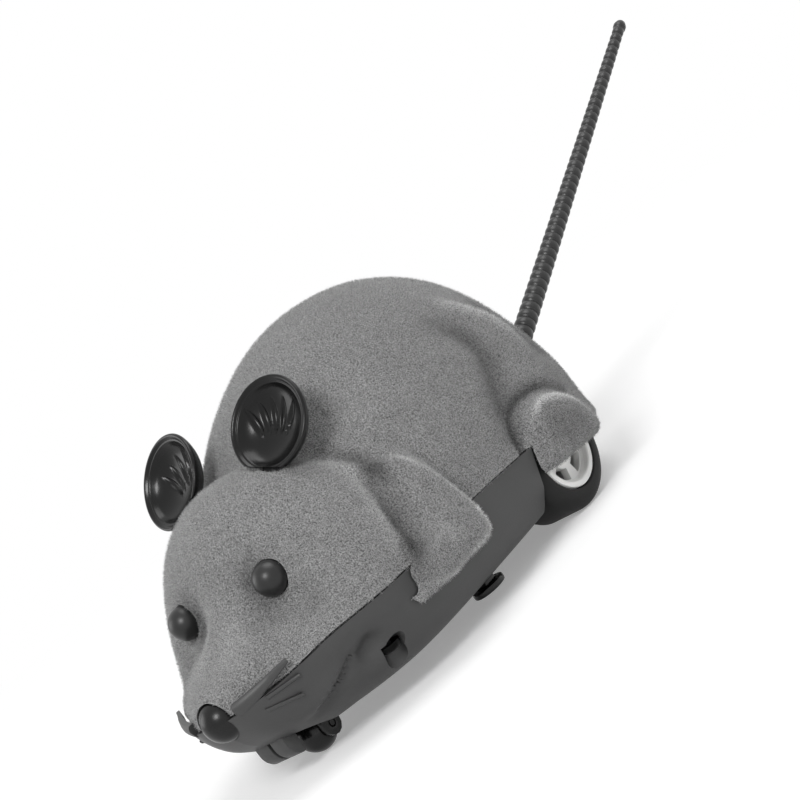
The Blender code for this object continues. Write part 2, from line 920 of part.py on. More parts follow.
def wheel_rod(side, grow, start, end, count):
    """An upright disc or hole about the rear axle, on one side."""
    return rod((0, wheel_along, axle_height), (side, 0, 0), grow, start, end, count)


def upright(along, radius, start, end, count):
    """An upright rod on the middle plane."""
    return rod((0, along, 0), (0, 0, 1), radius, start, end, count)


def add_limbs(shell):
    """Front legs and rear paws, trimmed to hang clear of the chassis."""
    room = guide("chassis_room", chassis_form(-part_gap, belly_height - part_gap))
    sculpt(room, guide("above_room", seam_slab(seam_lift, body_height)), "DIFFERENCE")
    for side, tag in ((1, "left"), (-1, "right")):
        leg = limb(leg_shares, leg_front_squareness, leg_rear_squareness, leg_slope, side)
        paw = limb(paw_shares, paw_front_squareness, paw_rear_squareness, paw_slope, side)
        for form in (guide("leg_form_" + tag, leg), guide("paw_form_" + tag, paw)):
            sculpt(form, room, "DIFFERENCE")
            sculpt(shell, form, "UNION")


def hollow_shell(shell):
    """The room inside the shell, around its screw posts and over the wheels."""
    hollow = guide("shell_hollow", shell_form(dome_shares, shell_wall))
    sculpt(hollow, guide("head_hollow", shell_form(head_shares, shell_wall)), "UNION")
    posts = post_rods(post_radius, (-seam_height, -seam_height), (body_height, body_height))
    sculpt(hollow, guide("shell_posts", gather(posts)), "DIFFERENCE")
    clear_radius = wheel_radius + wheel_room
    rooms = [wheel_rod(side, clear_radius, well_inner, well_outer, well_segments) for side in (1, -1)]
    sculpt(hollow, guide("wheel_rooms", gather(rooms)), "UNION")
    sculpt(shell, hollow, "DIFFERENCE")


def build_shell(flock):
    """Flocked upper shell with head, snout, legs, rear paws and its hollow inside."""
    shell = piece("upper_shell", shell_form(dome_shares, 0.0), flock)
    sculpt(shell, guide("head_form", shell_form(head_shares, 0.0)), "UNION")
    sculpt(shell, guide("snout_form", shell_form(snout_shares, 0.0)), "UNION")
    sculpt(shell, guide("below_seam", seam_slab(part_gap / 2, -seam_height)), "DIFFERENCE")
    add_limbs(shell)
    hollow_shell(shell)

    holes = [eye_peg(side, part_gap) for side in (1, -1)]
    holes.extend(post_rods(screw_radius + part_gap, (0.0, 0.0), (front_post_top, rear_post_top)))
    sculpt(shell, guide("shell_holes", gather(holes)), "DIFFERENCE")
    sockets = []
    for side in (1, -1):
        place = (side * eye_across, eye_along, eye_height)
        sockets.append(ball(place, eye_radius + part_gap, socket_segments, socket_ring_count))
    sockets.append(ball((0, nose_along, nose_height), nose_radius + part_gap, socket_segments, socket_ring_count))
    tail_hole = tail_base_radius + part_gap
    tail_base = (0, tail_along, tail_height)
    sockets.append(rod(tail_base, tail_direction(), tail_hole, -tail_flange_depth, tail_inside, hole_segments))
    sculpt(shell, guide("shell_sockets", gather(sockets)), "DIFFERENCE")
    slots = []
    for side in (1, -1):
        slots.append(ear_peg(side, part_gap))
        slots.append(whisker(0, side, part_gap))
    sculpt(shell, guide("shell_slots", gather(slots)), "DIFFERENCE")
    dishes = gather([ear_dish(side, part_gap) for side in (1, -1)])
    sculpt(shell, guide("ear_room", dishes), "DIFFERENCE")


def hollow_chassis(chassis):
    """The room inside the tub, around the wheel wells, the caster pocket and the screw posts."""
    hollow = guide("chassis_hollow", chassis_form(chassis_wall, floor_top))
    well_radius = wheel_radius + wheel_room + well_wall
    inner = well_inner - well_wall
    kept = [wheel_rod(side, well_radius, inner, 2 * body_half_width, well_segments) for side in (1, -1)]
    pocket_roof = pocket_top + pocket_ceiling
    kept.append(upright(pocket_along, pocket_radius + pocket_wall, 0.0, pocket_roof, well_segments))
    kept.extend(post_rods(post_radius, (0.0, 0.0), (body_height, body_height)))
    sculpt(hollow, guide("kept_blocks", gather(kept)), "DIFFERENCE")
    sculpt(chassis, hollow, "DIFFERENCE")


def add_inner_features(chassis):
    """Battery bay box, gear bump, board studs, nose and door post."""
    bay_low = (-bay_half_width - bay_wall, bay_front - bay_wall, floor_top - floor_thickness / 2)
    bay_high = (bay_half_width + bay_wall, bay_back + bay_wall, bay_top + bay_wall)
    sculpt(chassis, guide("bay_box", block(bay_low, bay_high)), "UNION")
    bump_low = (gearbox_inner, wheel_along - bump_half_length, belly_height - bump_drop)
    bump_high = (gearbox_outer, wheel_along + bump_half_length, floor_top - floor_thickness / 4)
    additions = [block(bump_low, bump_high, bump_drop / 2), ball((0, nose_along, nose_height), nose_radius)]
    stud_top = board_bottom - part_gap
    for across, along in board_fixings():
        stud = rod((across, along, 0), (0, 0, 1), stud_radius, bay_top + bay_wall / 2, stud_top, hole_segments)
        additions.append(stud)
    sculpt(chassis, guide("chassis_additions", gather(additions)), "UNION")
    post_base = floor_top - floor_thickness / 2
    door_post = upright(door_screw_along, post_radius, post_base, door_post_top, hole_segments)
    sculpt(chassis, guide("door_post", door_post), "UNION")


def open_chassis(chassis):
    """Wheel wells, mouth, caster pocket, battery bay, screw wells, switch slot and gear pocket."""
    cuts = []
    for side in (1, -1):
        clear_radius = wheel_radius + wheel_room
        cuts.append(wheel_rod(side, clear_radius, well_inner, 2 * body_half_width, well_segments))
        cuts.append(mouth(side))
    cuts.append(upright(pocket_along, pocket_radius, 0.0, pocket_top, well_segments))
    cuts.append(block((-bay_half_width, bay_front, 0.0), (bay_half_width, bay_back, bay_top)))
    cuts.extend(post_rods(screw_well_radius, (0.0, 0.0), (front_well_top, rear_well_top)))
    cuts.append(switch_slot(0.0, floor_top + cut_margin))
    window = bump_half_length - bump_drop
    pocket_low = (axle_gear_start - 2 * part_gap, wheel_along - window, belly_height - bump_drop / 4)
    pocket_high = (axle_gear_end + 2 * part_gap, wheel_along + window, floor_top + cut_margin)
    cuts.append(block(pocket_low, pocket_high))
    sculpt(chassis, guide("chassis_cuts", gather(cuts)), "DIFFERENCE")


def drill_chassis(chassis):
    """Screw, axle and caster holes and the openings that hold the battery door."""
    starts = (front_well_top - cut_margin, rear_well_top - cut_margin)
    holes = post_rods(screw_radius + part_gap, starts, (body_height, body_height))
    bearing = axle_radius + part_gap
    for side in (1, -1):
        holes.append(wheel_rod(side, bearing, well_inner - cut_margin, well_inner + cut_margin, hole_segments))
    holes.append(upright(caster_pivot_along, pivot_radius + part_gap, 0.0, body_height, hole_segments))
    tab_low = (-door_tab_half_width, bay_back - cut_margin, 0.0)
    tab_high = (door_tab_half_width, bay_back + door_tab_length, belly_height + door_thickness + part_gap)
    holes.append(block(tab_low, tab_high))
    half = door_tongue_half_width + part_gap
    tongue_top = floor_top + door_slot_height
    for side in (1, -1):
        middle = side * door_tongue_across
        low = (middle - half, bay_front - door_tongue_reach - part_gap, floor_top)
        holes.append(block(low, (middle + half, bay_front + part_gap, tongue_top)))
    sculpt(chassis, guide("chassis_holes", gather(holes)), "DIFFERENCE")
    base = board_bottom + board_thickness - board_screw_length
    studs = [
        rod((across, along, 0), (0, 0, 1), small_screw_radius + part_gap, base, board_bottom, hole_segments)
        for across, along in board_fixings()
    ]
    sculpt(chassis, guide("stud_holes", gather(studs)), "DIFFERENCE")
    screw_hole = small_screw_radius + 2 * part_gap
    door_hole = upright(door_screw_along, screw_hole, 0.0, door_post_top - 4 * part_gap, hole_segments)
    sculpt(chassis, guide("door_hole", door_hole), "DIFFERENCE")


def build_chassis(dark):
    """Moulded lower chassis with nose, whiskers, mouth, wheel wells, battery bay and caster pocket."""
    chassis = piece("lower_chassis", chassis_form(0.0, belly_height), dark)
    sculpt(chassis, guide("above_seam", seam_slab(-part_gap / 2, body_height)), "DIFFERENCE")
    hollow_chassis(chassis)
    add_inner_features(chassis)
    open_chassis(chassis)
    drill_chassis(chassis)
    sculpt(chassis, guide("chin_lugs", gather([chin_lug(side) for side in (1, -1)])), "UNION")
    lines = [whisker(index, side, 0.0) for index in range(len(whisker_shares)) for side in (1, -1)]
    sculpt(chassis, guide("whisker_lines", gather(lines)), "UNION")


def build_face(gloss, satin):
    """Ears and eyes."""
    for side, tag in ((1, "left"), (-1, "right")):
        ear = piece("ear_" + tag, ear_dish(side, 0.0), gloss)
        combine(ear, guide("ear_trim_" + tag, ear_trim(side)), "DIFFERENCE")
        combine(ear, guide("ear_peg_" + tag, ear_peg(side, 0.0)), "UNION")
        eye = piece("eye_" + tag, ball((side * eye_across, eye_along, eye_height), eye_radius), satin)
        combine(eye, guide("eye_peg_" + tag, eye_peg(side, 0.0)), "UNION")


def build_tail(rubber, steel):
    """Ribbed antenna sheath with the aerial wire inside."""
    bore_end = tail_length - tail_tip_radius
    flange_base = -tail_flange_depth - tail_flange_thickness
    profile = [(0.0, bore_end), (antenna_bore_radius, bore_end), (antenna_bore_radius, -tail_inside)]
    profile += [(tail_base_radius, -tail_inside), (tail_base_radius, flange_base)]
    profile += [(tail_flange_radius, flange_base), (tail_flange_radius, -tail_flange_depth)]
    profile.append((tail_base_radius, -tail_flange_depth))
    pitch = (tail_length - tail_inside) / tail_rib_count
    for index in range(tail_rib_count):
        for share, drop in ((0.0, 0.0), (0.5, 1.0)):
            along = tail_inside + pitch * (index + share)
            outer = tail_base_radius + (tail_tip_radius - tail_base_radius) * along / tail_length
            profile.append((outer - drop * tail_rib_depth * outer / tail_base_radius, along))
    profile += [(tail_tip_radius, tail_length), (tail_tip_radius, tail_length + tail_tip_radius)]
    profile.append((0.0, tail_length + tail_tip_length))
    base = (0, tail_along, tail_height)
    piece("tail_sheath", turned(profile, base, tail_direction(), tail_segments), rubber)
    wire_end = bore_end - part_gap
    wire = rod(base, tail_direction(), antenna_radius, -tail_inside - cut_margin, wire_end, screw_segments)
    piece("antenna_wire", wire, steel)


def build_tyre(side, tag, rubber):
    """A rubber tyre with a rounded outer shoulder."""
    bore = hub_radius + part_gap
    start = tyre_outer - tyre_shoulder
    profile = [(bore, tyre_inner), (wheel_radius - tyre_inner_edge, tyre_inner)]
    profile.append((wheel_radius, tyre_inner + tyre_inner_edge))
    for index in range(tyre_shoulder_steps + 1):
        angle = math.pi / 2 * index / tyre_shoulder_steps
        drop = tyre_shoulder * (1 - math.cos(angle))
        profile.append((wheel_radius - drop, start + tyre_shoulder * math.sin(angle)))
    profile.append((bore, tyre_outer))
    wheel_centre = (0, wheel_along, axle_height)
    form = turned(profile, wheel_centre, (side, 0, 0), wheel_segments, closed=True)
    piece("tyre_" + tag, form, rubber, wheel_centre)


def hub_slot(index, side, low, high):
    """One window between the spokes of a hub."""
    middle_angle = math.pi / 2 + 2 * math.pi * index / hub_spoke_count
    rim = hub_radius - hub_rim - hub_slot_rim
    root = hub_boss_radius + hub_slot_root
    outline = []
    for radius, steps in ((rim, (-1, 0, 1)), (root, (1, -1))):
        for step in steps:
            angle = middle_angle + hub_slot_half_angle * step
            outline.append((wheel_along + radius * math.cos(angle), axle_height + radius * math.sin(angle)))
    return prism(outline, "x", *sorted((side * low, side * high)))


def build_hub(side, tag, white):
    """A moulded hub: rim, dished web with windows and a boss on the axle."""
    inner = hub_radius - hub_rim
    bore = axle_radius + part_gap
    face = tyre_outer - hub_dish
    back = face - hub_web
    profile = [(bore, tyre_inner), (hub_boss_radius, tyre_inner), (hub_boss_radius, back), (inner, back)]
    profile += [(inner, tyre_inner), (hub_radius, tyre_inner), (hub_radius, tyre_outer), (inner, tyre_outer)]
    boss_end = tyre_outer - part_gap
    profile += [(inner, face), (hub_boss_radius, face), (hub_boss_radius, boss_end), (bore, boss_end)]
    wheel_centre = (0, wheel_along, axle_height)
    form = turned(profile, wheel_centre, (side, 0, 0), hub_segments, closed=True)
    hub = piece("wheel_hub_" + tag, form, white, wheel_centre)
    slots = [hub_slot(index, side, back - hub_slot_root, face + hub_slot_root) for index in range(hub_spoke_count)]
    combine(hub, guide("hub_slots_" + tag, gather(slots)), "DIFFERENCE")


def build_wheels(rubber, white, steel, acetal):
    """Tyres, hubs, axle and the gear on it."""
    for side, tag in ((1, "left"), (-1, "right")):
        build_tyre(side, tag, rubber)
        build_hub(side, tag, white)
    wheel_centre = (0, wheel_along, axle_height)
    reach = tyre_outer + axle_overhang
    shaft = rod(wheel_centre, (1, 0, 0), axle_radius, -reach, reach, hole_segments)
    piece("rear_axle", shaft, steel, wheel_centre)
    outline = gear_outline(axle_tooth_count, (wheel_along, axle_height), first_mesh_angle + math.pi / axle_tooth_count)
    form = prism(outline, "x", axle_gear_start, axle_gear_end)
    gear = piece("axle_gear", form, acetal, wheel_centre)
    bore = rod(wheel_centre, (1, 0, 0), axle_radius + part_gap, 0.0, body_half_width, hole_segments)
    combine(gear, guide("axle_gear_bore", bore), "DIFFERENCE")


def build_gearbox(grey, acetal, steel, brass):
    """Gear case with its cover, the idler gear on its shaft and the motor pinion."""
    wheel_centre = (0, wheel_along, axle_height)
    idler_centre = (0, compound_along, compound_height)
    motor_centre = (0, motor_along, motor_height)
    low = floor_top + part_gap
    case_end = gearbox_split - part_gap / 2
    case_low = (gearbox_inner, gearbox_front, low)
    case_form = block(case_low, (case_end, gearbox_back, gearbox_top), gearbox_wall / 2)
    case = piece("gearbox_case", case_form, grey)
    room_low = (gearbox_inner + gearbox_wall, gearbox_front + gearbox_wall, low + gearbox_wall)
    room_high = (gearbox_split + cut_margin, gearbox_back - gearbox_wall, gearbox_top - gearbox_wall)
    combine(case, guide("gearbox_room", block(room_low, room_high)), "DIFFERENCE")
    through = gearbox_inner + 2 * gearbox_wall
    gear_room = gear_module * (axle_tooth_count / 2 + gear_tip_share) + part_gap
    window = bump_half_length - bump_drop
    window_low = (axle_gear_start - part_gap, wheel_along - window, 0.0)
    window_high = (axle_gear_end + part_gap, wheel_along + window, floor_top + 2 * gearbox_wall)
    cuts = [
        rod(wheel_centre, (1, 0, 0), axle_radius + part_gap, 0.0, through, hole_segments),
        rod(idler_centre, (1, 0, 0), gear_shaft_radius + part_gap, 0.0, through, hole_segments),
        rod(motor_centre, (1, 0, 0), motor_boss_radius + part_gap, 0.0, through, round_segments),
        block(window_low, window_high),
    ]
    combine(case, guide("gearbox_cuts", gather(cuts)), "DIFFERENCE")
    room_ends = (axle_gear_start - part_gap, axle_gear_end + part_gap)
    gear_window = rod(wheel_centre, (1, 0, 0), gear_room, *room_ends, round_segments)
    combine(case, guide("axle_gear_window", gear_window), "DIFFERENCE")

    cover_low = (gearbox_split + part_gap / 2, gearbox_front, low)
    cover_form = block(cover_low, (gearbox_outer, gearbox_back, gearbox_top), gearbox_wall / 3)
    cover = piece("gearbox_cover", cover_form, grey)
    bores = [
        rod(wheel_centre, (1, 0, 0), axle_radius + part_gap, 0.0, body_half_width, hole_segments),
        rod(idler_centre, (1, 0, 0), gear_shaft_radius + part_gap, 0.0, body_half_width, hole_segments),
    ]
    combine(cover, guide("cover_bores", gather(bores)), "DIFFERENCE")

    outline = gear_outline(large_tooth_count, (compound_along, compound_height), second_mesh_angle)
    form = prism(outline, "x", large_gear_start, large_gear_end)
    idler = piece("idler_gear", form, acetal, idler_centre)
    outline = gear_outline(small_tooth_count, (compound_along, compound_height), first_mesh_angle + math.pi)
    small = prism(outline, "x", small_gear_start, large_gear_start + part_gap)
    combine(idler, guide("idler_small_gear", small), "UNION")
    bore = rod(idler_centre, (1, 0, 0), gear_shaft_radius + part_gap, 0.0, body_half_width, hole_segments)
    combine(idler, guide("idler_bore", bore), "DIFFERENCE")
    shaft = rod(idler_centre, (1, 0, 0), gear_shaft_radius, gearbox_inner, gearbox_outer, hole_segments)
    piece("idler_shaft", shaft, steel)

    turn = second_mesh_angle + math.pi + math.pi / pinion_tooth_count
    outline = gear_outline(pinion_tooth_count, (motor_along, motor_height), turn)
    form = prism(outline, "x", pinion_start, pinion_end)
    pinion = piece("motor_pinion", form, brass, motor_centre)
    bore = rod(motor_centre, (1, 0, 0), motor_shaft_radius + part_gap, 0.0, body_half_width, hole_segments)
    combine(pinion, guide("pinion_bore", bore), "DIFFERENCE")


def motor_section():
    """Outline of the motor can: round with two flats."""
    points = []
    for index in range(motor_segments):
        angle = 2 * math.pi * index / motor_segments
        along = min(max(motor_radius * math.cos(angle), -motor_half_flat), motor_half_flat)
        points.append((motor_along + along, motor_height + motor_radius * math.sin(angle)))
    return points


def build_motor(steel, grey):
    """Motor can, end cap with terminals, and shaft."""
    motor_centre = (0, motor_along, motor_height)
    can = piece("motor_can", prism(motor_section(), "x", motor_front - motor_length, motor_front), steel)
    boss_end = gearbox_inner + gearbox_wall - part_gap
    boss = rod(motor_centre, (1, 0, 0), motor_boss_radius, motor_front - part_gap, boss_end, round_segments)
    combine(can, guide("motor_boss", boss), "UNION")
    hole = motor_shaft_radius + part_gap
    bore = rod(motor_centre, (1, 0, 0), hole, -body_half_width, body_half_width, hole_segments)
    combine(can, guide("motor_bore", bore), "DIFFERENCE")
    cap_end = motor_front - motor_length - part_gap
    cap_start = cap_end - motor_cap_length
    cap = piece("motor_end_cap", prism(motor_section(), "x", cap_start, cap_end), grey)
    terminals = []
    for side in (1, -1):
        height = motor_height + side * motor_terminal_offset
        half_width = motor_terminal_width / 2
        half_thickness = motor_terminal_thickness / 2
        low = (cap_start - motor_terminal, motor_along - half_width, height - half_thickness)
        high = (cap_start + motor_cap_length / 2, motor_along + half_width, height + half_thickness)
        terminals.append(block(low, high))
    combine(cap, guide("motor_terminals", gather(terminals)), "UNION")
    socket_end = cap_start + motor_cap_length / 2
    bore = rod(motor_centre, (1, 0, 0), hole, socket_end, body_half_width, hole_segments)
    combine(cap, guide("cap_bore", bore), "DIFFERENCE")
    shaft = rod(motor_centre, (1, 0, 0), motor_shaft_radius, socket_end + part_gap, pinion_end, hole_segments)
    piece("motor_shaft", shaft, steel, motor_centre)


def build_cells(sleeve):
    """Two battery cells side by side, pointing opposite ways."""
    front = bay_front + contact_thickness + 2 * part_gap + leaf_reach
    edge = cell_radius - cell_edge
    whole = cell_length + cell_nub
    profile = [(0.0, 0.0), (edge, 0.0), (cell_radius, cell_edge), (cell_radius, cell_length - cell_edge)]
    profile += [(edge, cell_length), (cell_nub_radius, cell_length), (cell_nub_radius, whole), (0.0, whole)]
    for side, tag, base, way in ((1, "left", front, 1), (-1, "right", front + whole, -1)):
        centre = (side * cell_spacing / 2, base, cell_height)
        piece("battery_cell_" + tag, turned(profile, centre, (0, way, 0), round_segments), sleeve)


def build_contact(name, across, at, way, leaf_side, steel):
    """A contact plate on the bay wall: a sprung leaf for a cell's flat end, a pip for its nub."""
    low = cell_height - contact_height / 2
    high = cell_height + contact_height / 2
    near, far = sorted((at, at + way * contact_thickness))
    plate = piece(name, block((across[0], near, low), (across[1], far, high)), steel)
    features = []
    for side in (1, -1):
        middle = side * cell_spacing / 2
        root = at + way * contact_thickness / 2
        if not across[0] < middle < across[1]:
            continue
        if side == leaf_side:
            crest = at + way * (contact_thickness + leaf_reach)
            dip = crest - way * contact_thickness
            outline = [(root, cell_height - leaf_foot), (crest, cell_height - leaf_crest)]
            outline += [(crest, cell_height + leaf_crest), (root, cell_height + leaf_foot)]
            outline += [(root, cell_height + leaf_inner_foot), (dip, cell_height)]
            outline.append((root, cell_height - leaf_inner_foot))
            features.append(prism(outline, "x", middle - leaf_width / 2, middle + leaf_width / 2))
        else:
            pip = ((0.0, 0.0), (cell_nub_radius, 0.0), (cell_nub_radius / 2, leaf_reach), (0.0, leaf_reach))
            features.append(turned(pip, (middle, root, cell_height), (0, way, 0), hole_segments))
    combine(plate, guide(name + "_leaf", gather(features)), "UNION")


def build_contacts(steel):
    """The bridge at the front of the bay and the two terminals at its back."""
    inner = cell_spacing / 2 - contact_width / 2
    outer = cell_spacing / 2 + contact_width / 2
    build_contact("contact_bridge", (-outer, outer), bay_front + part_gap, 1, 1, steel)
    build_contact("contact_positive", (inner, outer), bay_back - part_gap, -1, -1, steel)
    build_contact("contact_negative", (-outer, -inner), bay_back - part_gap, -1, -1, steel)


def build_door(dark):
    """Battery door with two front tongues and a screwed tab at the back."""
    gap = part_gap
    bottom = belly_height
    top = belly_height + door_thickness
    plate = block((gap - bay_half_width, bay_front + gap, bottom), (bay_half_width - gap, bay_back - gap, top))
    door = piece("battery_door", plate, dark, (0, bay_front, belly_height))
    tab_low = (gap - door_tab_half_width, bay_back - cut_margin, bottom)
    tab_high = (door_tab_half_width - gap, bay_back + door_tab_length - gap, top)
    combine(door, guide("door_tab", block(tab_low, tab_high)), "UNION")
    face = bay_front + gap
    tongue_low = floor_top + gap
    tongue_high = tongue_low + door_tongue_thickness
    root = bottom + door_thickness / 2
    outline = [(face, root), (face, tongue_low), (bay_front - door_tongue_reach, tongue_low)]
    outline += [(bay_front - door_tongue_reach, tongue_high), (face + door_tongue_thickness, tongue_high)]
    outline.append((face + door_tongue_thickness, root))
    tongues = []
    for side in (1, -1):
        middle = side * door_tongue_across
        tongues.append(prism(outline, "x", middle - door_tongue_half_width, middle + door_tongue_half_width))
    combine(door, guide("door_tongues", gather(tongues)), "UNION")
    hole = upright(door_screw_along, small_screw_radius + gap, 0.0, body_height, hole_segments)
    combine(door, guide("door_screw_hole", hole), "DIFFERENCE")


def board_fixings():
    """The two fixing places of the receiver board, at opposite corners."""
    across = board_half_width - stud_inset
    return ((across, board_front + stud_inset), (-across, board_back - stud_inset))


def chip_block(place, size):
    """A component standing on the board: its middle across and along, then its sizes."""
    base = board_bottom + board_thickness + part_gap
    low = (place[0] - size[0] / 2, place[1] - size[1] / 2, base)
    high = (place[0] + size[0] / 2, place[1] + size[1] / 2, base + size[2])
    return block(low, high, component_edge)


def build_board(green, black, tin):
    """Receiver board over the battery bay with its chips, tuning coil, crystal and capacitor."""
    top = board_bottom + board_thickness
    board_form = block((-board_half_width, board_front, board_bottom), (board_half_width, board_back, top))
    board = piece("receiver_board", board_form, green)
    holes = [
        rod((across, along, 0), (0, 0, 1), small_screw_radius + part_gap, 0.0, body_height, hole_segments)
        for across, along in board_fixings()
    ]
    combine(board, guide("board_holes", gather(holes)), "DIFFERENCE")
    piece("receiver_chip", chip_block(receiver_chip_place, receiver_chip_size), black)
    piece("driver_chip", chip_block(driver_chip_place, driver_chip_size), black)
    piece("tuning_coil", chip_block(coil_place, coil_size), tin)
    piece("crystal", chip_block(crystal_place, crystal_size), tin)
    centre = (*capacitor_place, top + part_gap)
    piece("capacitor", rod(centre, (0, 0, 1), capacitor_radius, 0.0, capacitor_height), black)


def arc(centre, radius, start, turn, steps):
    """Places along an arc, both ends included."""
    places = []
    for step in range(steps + 1):
        angle = start + turn * step / steps
        places.append((centre[0] + radius * math.cos(angle), centre[1] + radius * math.sin(angle)))
    return places


def build_roller(satin, steel):
    """Ball roller of the front caster with its flat cheeks, and its pin."""
    centre = (0, roller_along, roller_radius)
    form = ball(centre, roller_radius, roller_segments, roller_ring_count)
    roller = piece("caster_roller", form, satin, centre)
    trims = []
    for side in (1, -1):
        near, far = sorted((side * roller_half_width, side * 2 * roller_radius))
        low = (near, roller_along - 2 * roller_radius, -roller_radius)
        trims.append(block(low, (far, roller_along + 2 * roller_radius, 3 * roller_radius)))
    combine(roller, guide("roller_trim", gather(trims)), "DIFFERENCE")
    bore = rod(centre, (1, 0, 0), roller_bore, -2 * roller_radius, 2 * roller_radius, hole_segments)
    combine(roller, guide("roller_bore", bore), "DIFFERENCE")
    reach = roller_half_width + part_gap + yoke_arm
    pin = rod(centre, (1, 0, 0), roller_pin_radius, -reach, reach, hole_segments)
    piece("caster_pin", pin, steel, (0, caster_pivot_along, yoke_top))


def build_yoke(satin, steel):
    """Swivelling yoke of the front caster with its washer and screw."""
    inner = roller_half_width + part_gap
    outer = inner + yoke_arm
    middle = yoke_top - yoke_plate / 2
    front = roller_along - yoke_end_radius
    back = roller_along + yoke_end_radius
    outline = arc((0.0, caster_pivot_along), yoke_nose_radius, math.pi, math.pi, yoke_arc_steps)
    outline += [(outer, front), (outer, back - yoke_arm), (inner, back)]
    outline += [(-inner, back), (-outer, back - yoke_arm), (-outer, front)]
    swivel = (0, caster_pivot_along, yoke_top)
    yoke = piece("caster_yoke", prism(outline, "z", yoke_top - yoke_plate, yoke_top), satin, swivel)
    cheek = arc((roller_along, roller_radius), yoke_end_radius, math.pi, math.pi, yoke_arc_steps)
    shoulder = roller_radius + yoke_end_radius
    cheek += [(back, shoulder), (back - yoke_arm, middle), (front + yoke_arm, middle), (front, shoulder)]
    additions = [prism(cheek, "x", *sorted((side * inner, side * outer))) for side in (1, -1)]
    pivot_end = pocket_top + pocket_ceiling
    additions.append(upright(caster_pivot_along, pivot_radius, middle, pivot_end, hole_segments))
    combine(yoke, guide("yoke_arms", gather(additions)), "UNION")
    centre = (0, roller_along, roller_radius)
    pin_hole = rod(centre, (1, 0, 0), roller_bore, -body_half_width, body_half_width, hole_segments)
    hole = small_screw_radius + part_gap
    screw_hole = upright(caster_pivot_along, hole, middle, body_height, hole_segments)
    combine(yoke, guide("yoke_bores", gather([pin_hole, screw_hole])), "DIFFERENCE")

    seat = pivot_end + part_gap
    top = seat + washer_thickness
    washer = tube((0, caster_pivot_along, 0), (0, 0, 1), washer_radius, hole, seat, top, hole_segments)
    piece("caster_washer", washer, steel, swivel)
    head = (small_screw_radius, small_head_radius, small_head_height)
    form = screw((0, caster_pivot_along, top + part_gap), 1, *head, caster_screw_length)
    piece("caster_screw", form, steel, swivel)


def screw(seat, way, radius, head_radius, head_height, length):
    """A pan-head screw seated at a point: way 1 has its head above, way -1 below."""
    crown = head_radius * screw_crown_share
    profile = [(0.0, -length), (radius, -length + radius), (radius, 0.0)]
    profile += [(head_radius, 0.0), (crown, head_height), (0.0, head_height)]
    return turned(profile, seat, (0, 0, way), screw_segments)


def switch_slot(bottom, top):
    """The long hole that the knob's stem slides in."""
    half_width = stem_half_width + part_gap
    half_length = stem_half_length + switch_travel / 2 + 2 * part_gap
    low = (switch_across - half_width, switch_along - half_length, bottom)
    return block(low, (switch_across + half_width, switch_along + half_length, top))


def build_switch(grey, satin):
    """Slide switch in the floor and the knob under the belly."""
    bottom = floor_top + part_gap
    top = bottom + switch_height
    low = (switch_across - switch_half_width, switch_along - switch_half_length, bottom)
    high = (switch_across + switch_half_width, switch_along + switch_half_length, top)
    body = piece("switch_body", block(low, high, switch_edge), grey)
    combine(body, guide("switch_room", switch_slot(0.0, top - switch_roof)), "DIFFERENCE")
    flange = [
        (switch_across + knob_half_width * across, switch_along + knob_half_length * along)
        for across, along in arc((0.0, 0.0), 1.0, 0.0, 2 * math.pi, round_segments)[:-1]
    ]
    form = prism(flange, "z", knob_bottom, knob_bottom + knob_flange)
    knob = piece("switch_knob", form, satin, (switch_across, switch_along, knob_bottom))
    stem_low = (switch_across - stem_half_width, switch_along - stem_half_length, knob_bottom + knob_flange / 2)
    stem_high = (switch_across + stem_half_width, switch_along + stem_half_length, top - switch_roof - part_gap)
    combine(knob, guide("knob_stem", block(stem_low, stem_high)), "UNION")


def build_screws(steel):
    """Shell, board and door screws."""
    large_head = (screw_radius, screw_head_radius, screw_head_height)
    small_head = (small_screw_radius, small_head_radius, small_head_height)
    for end, place, top, length in (
        ("front", front_post, front_well_top, front_screw_length),
        ("rear", rear_post, rear_well_top, rear_screw_length),
    ):
        for side, tag in ((1, "left"), (-1, "right")):
            seat = (side * place[0], place[1], top - part_gap)
            piece("shell_screw_" + end + "_" + tag, screw(seat, -1, *large_head, length), steel)
    seat_height = board_bottom + board_thickness + part_gap
    for tag, (across, along) in zip(("left", "right"), board_fixings()):
        form = screw((across, along, seat_height), 1, *small_head, board_screw_length)
        piece("board_screw_" + tag, form, steel)
    door_seat = (0, door_screw_along, belly_height - part_gap)
    form = screw(door_seat, -1, *small_head, door_screw_length)
    piece("door_screw", form, steel, (0, bay_front, belly_height))


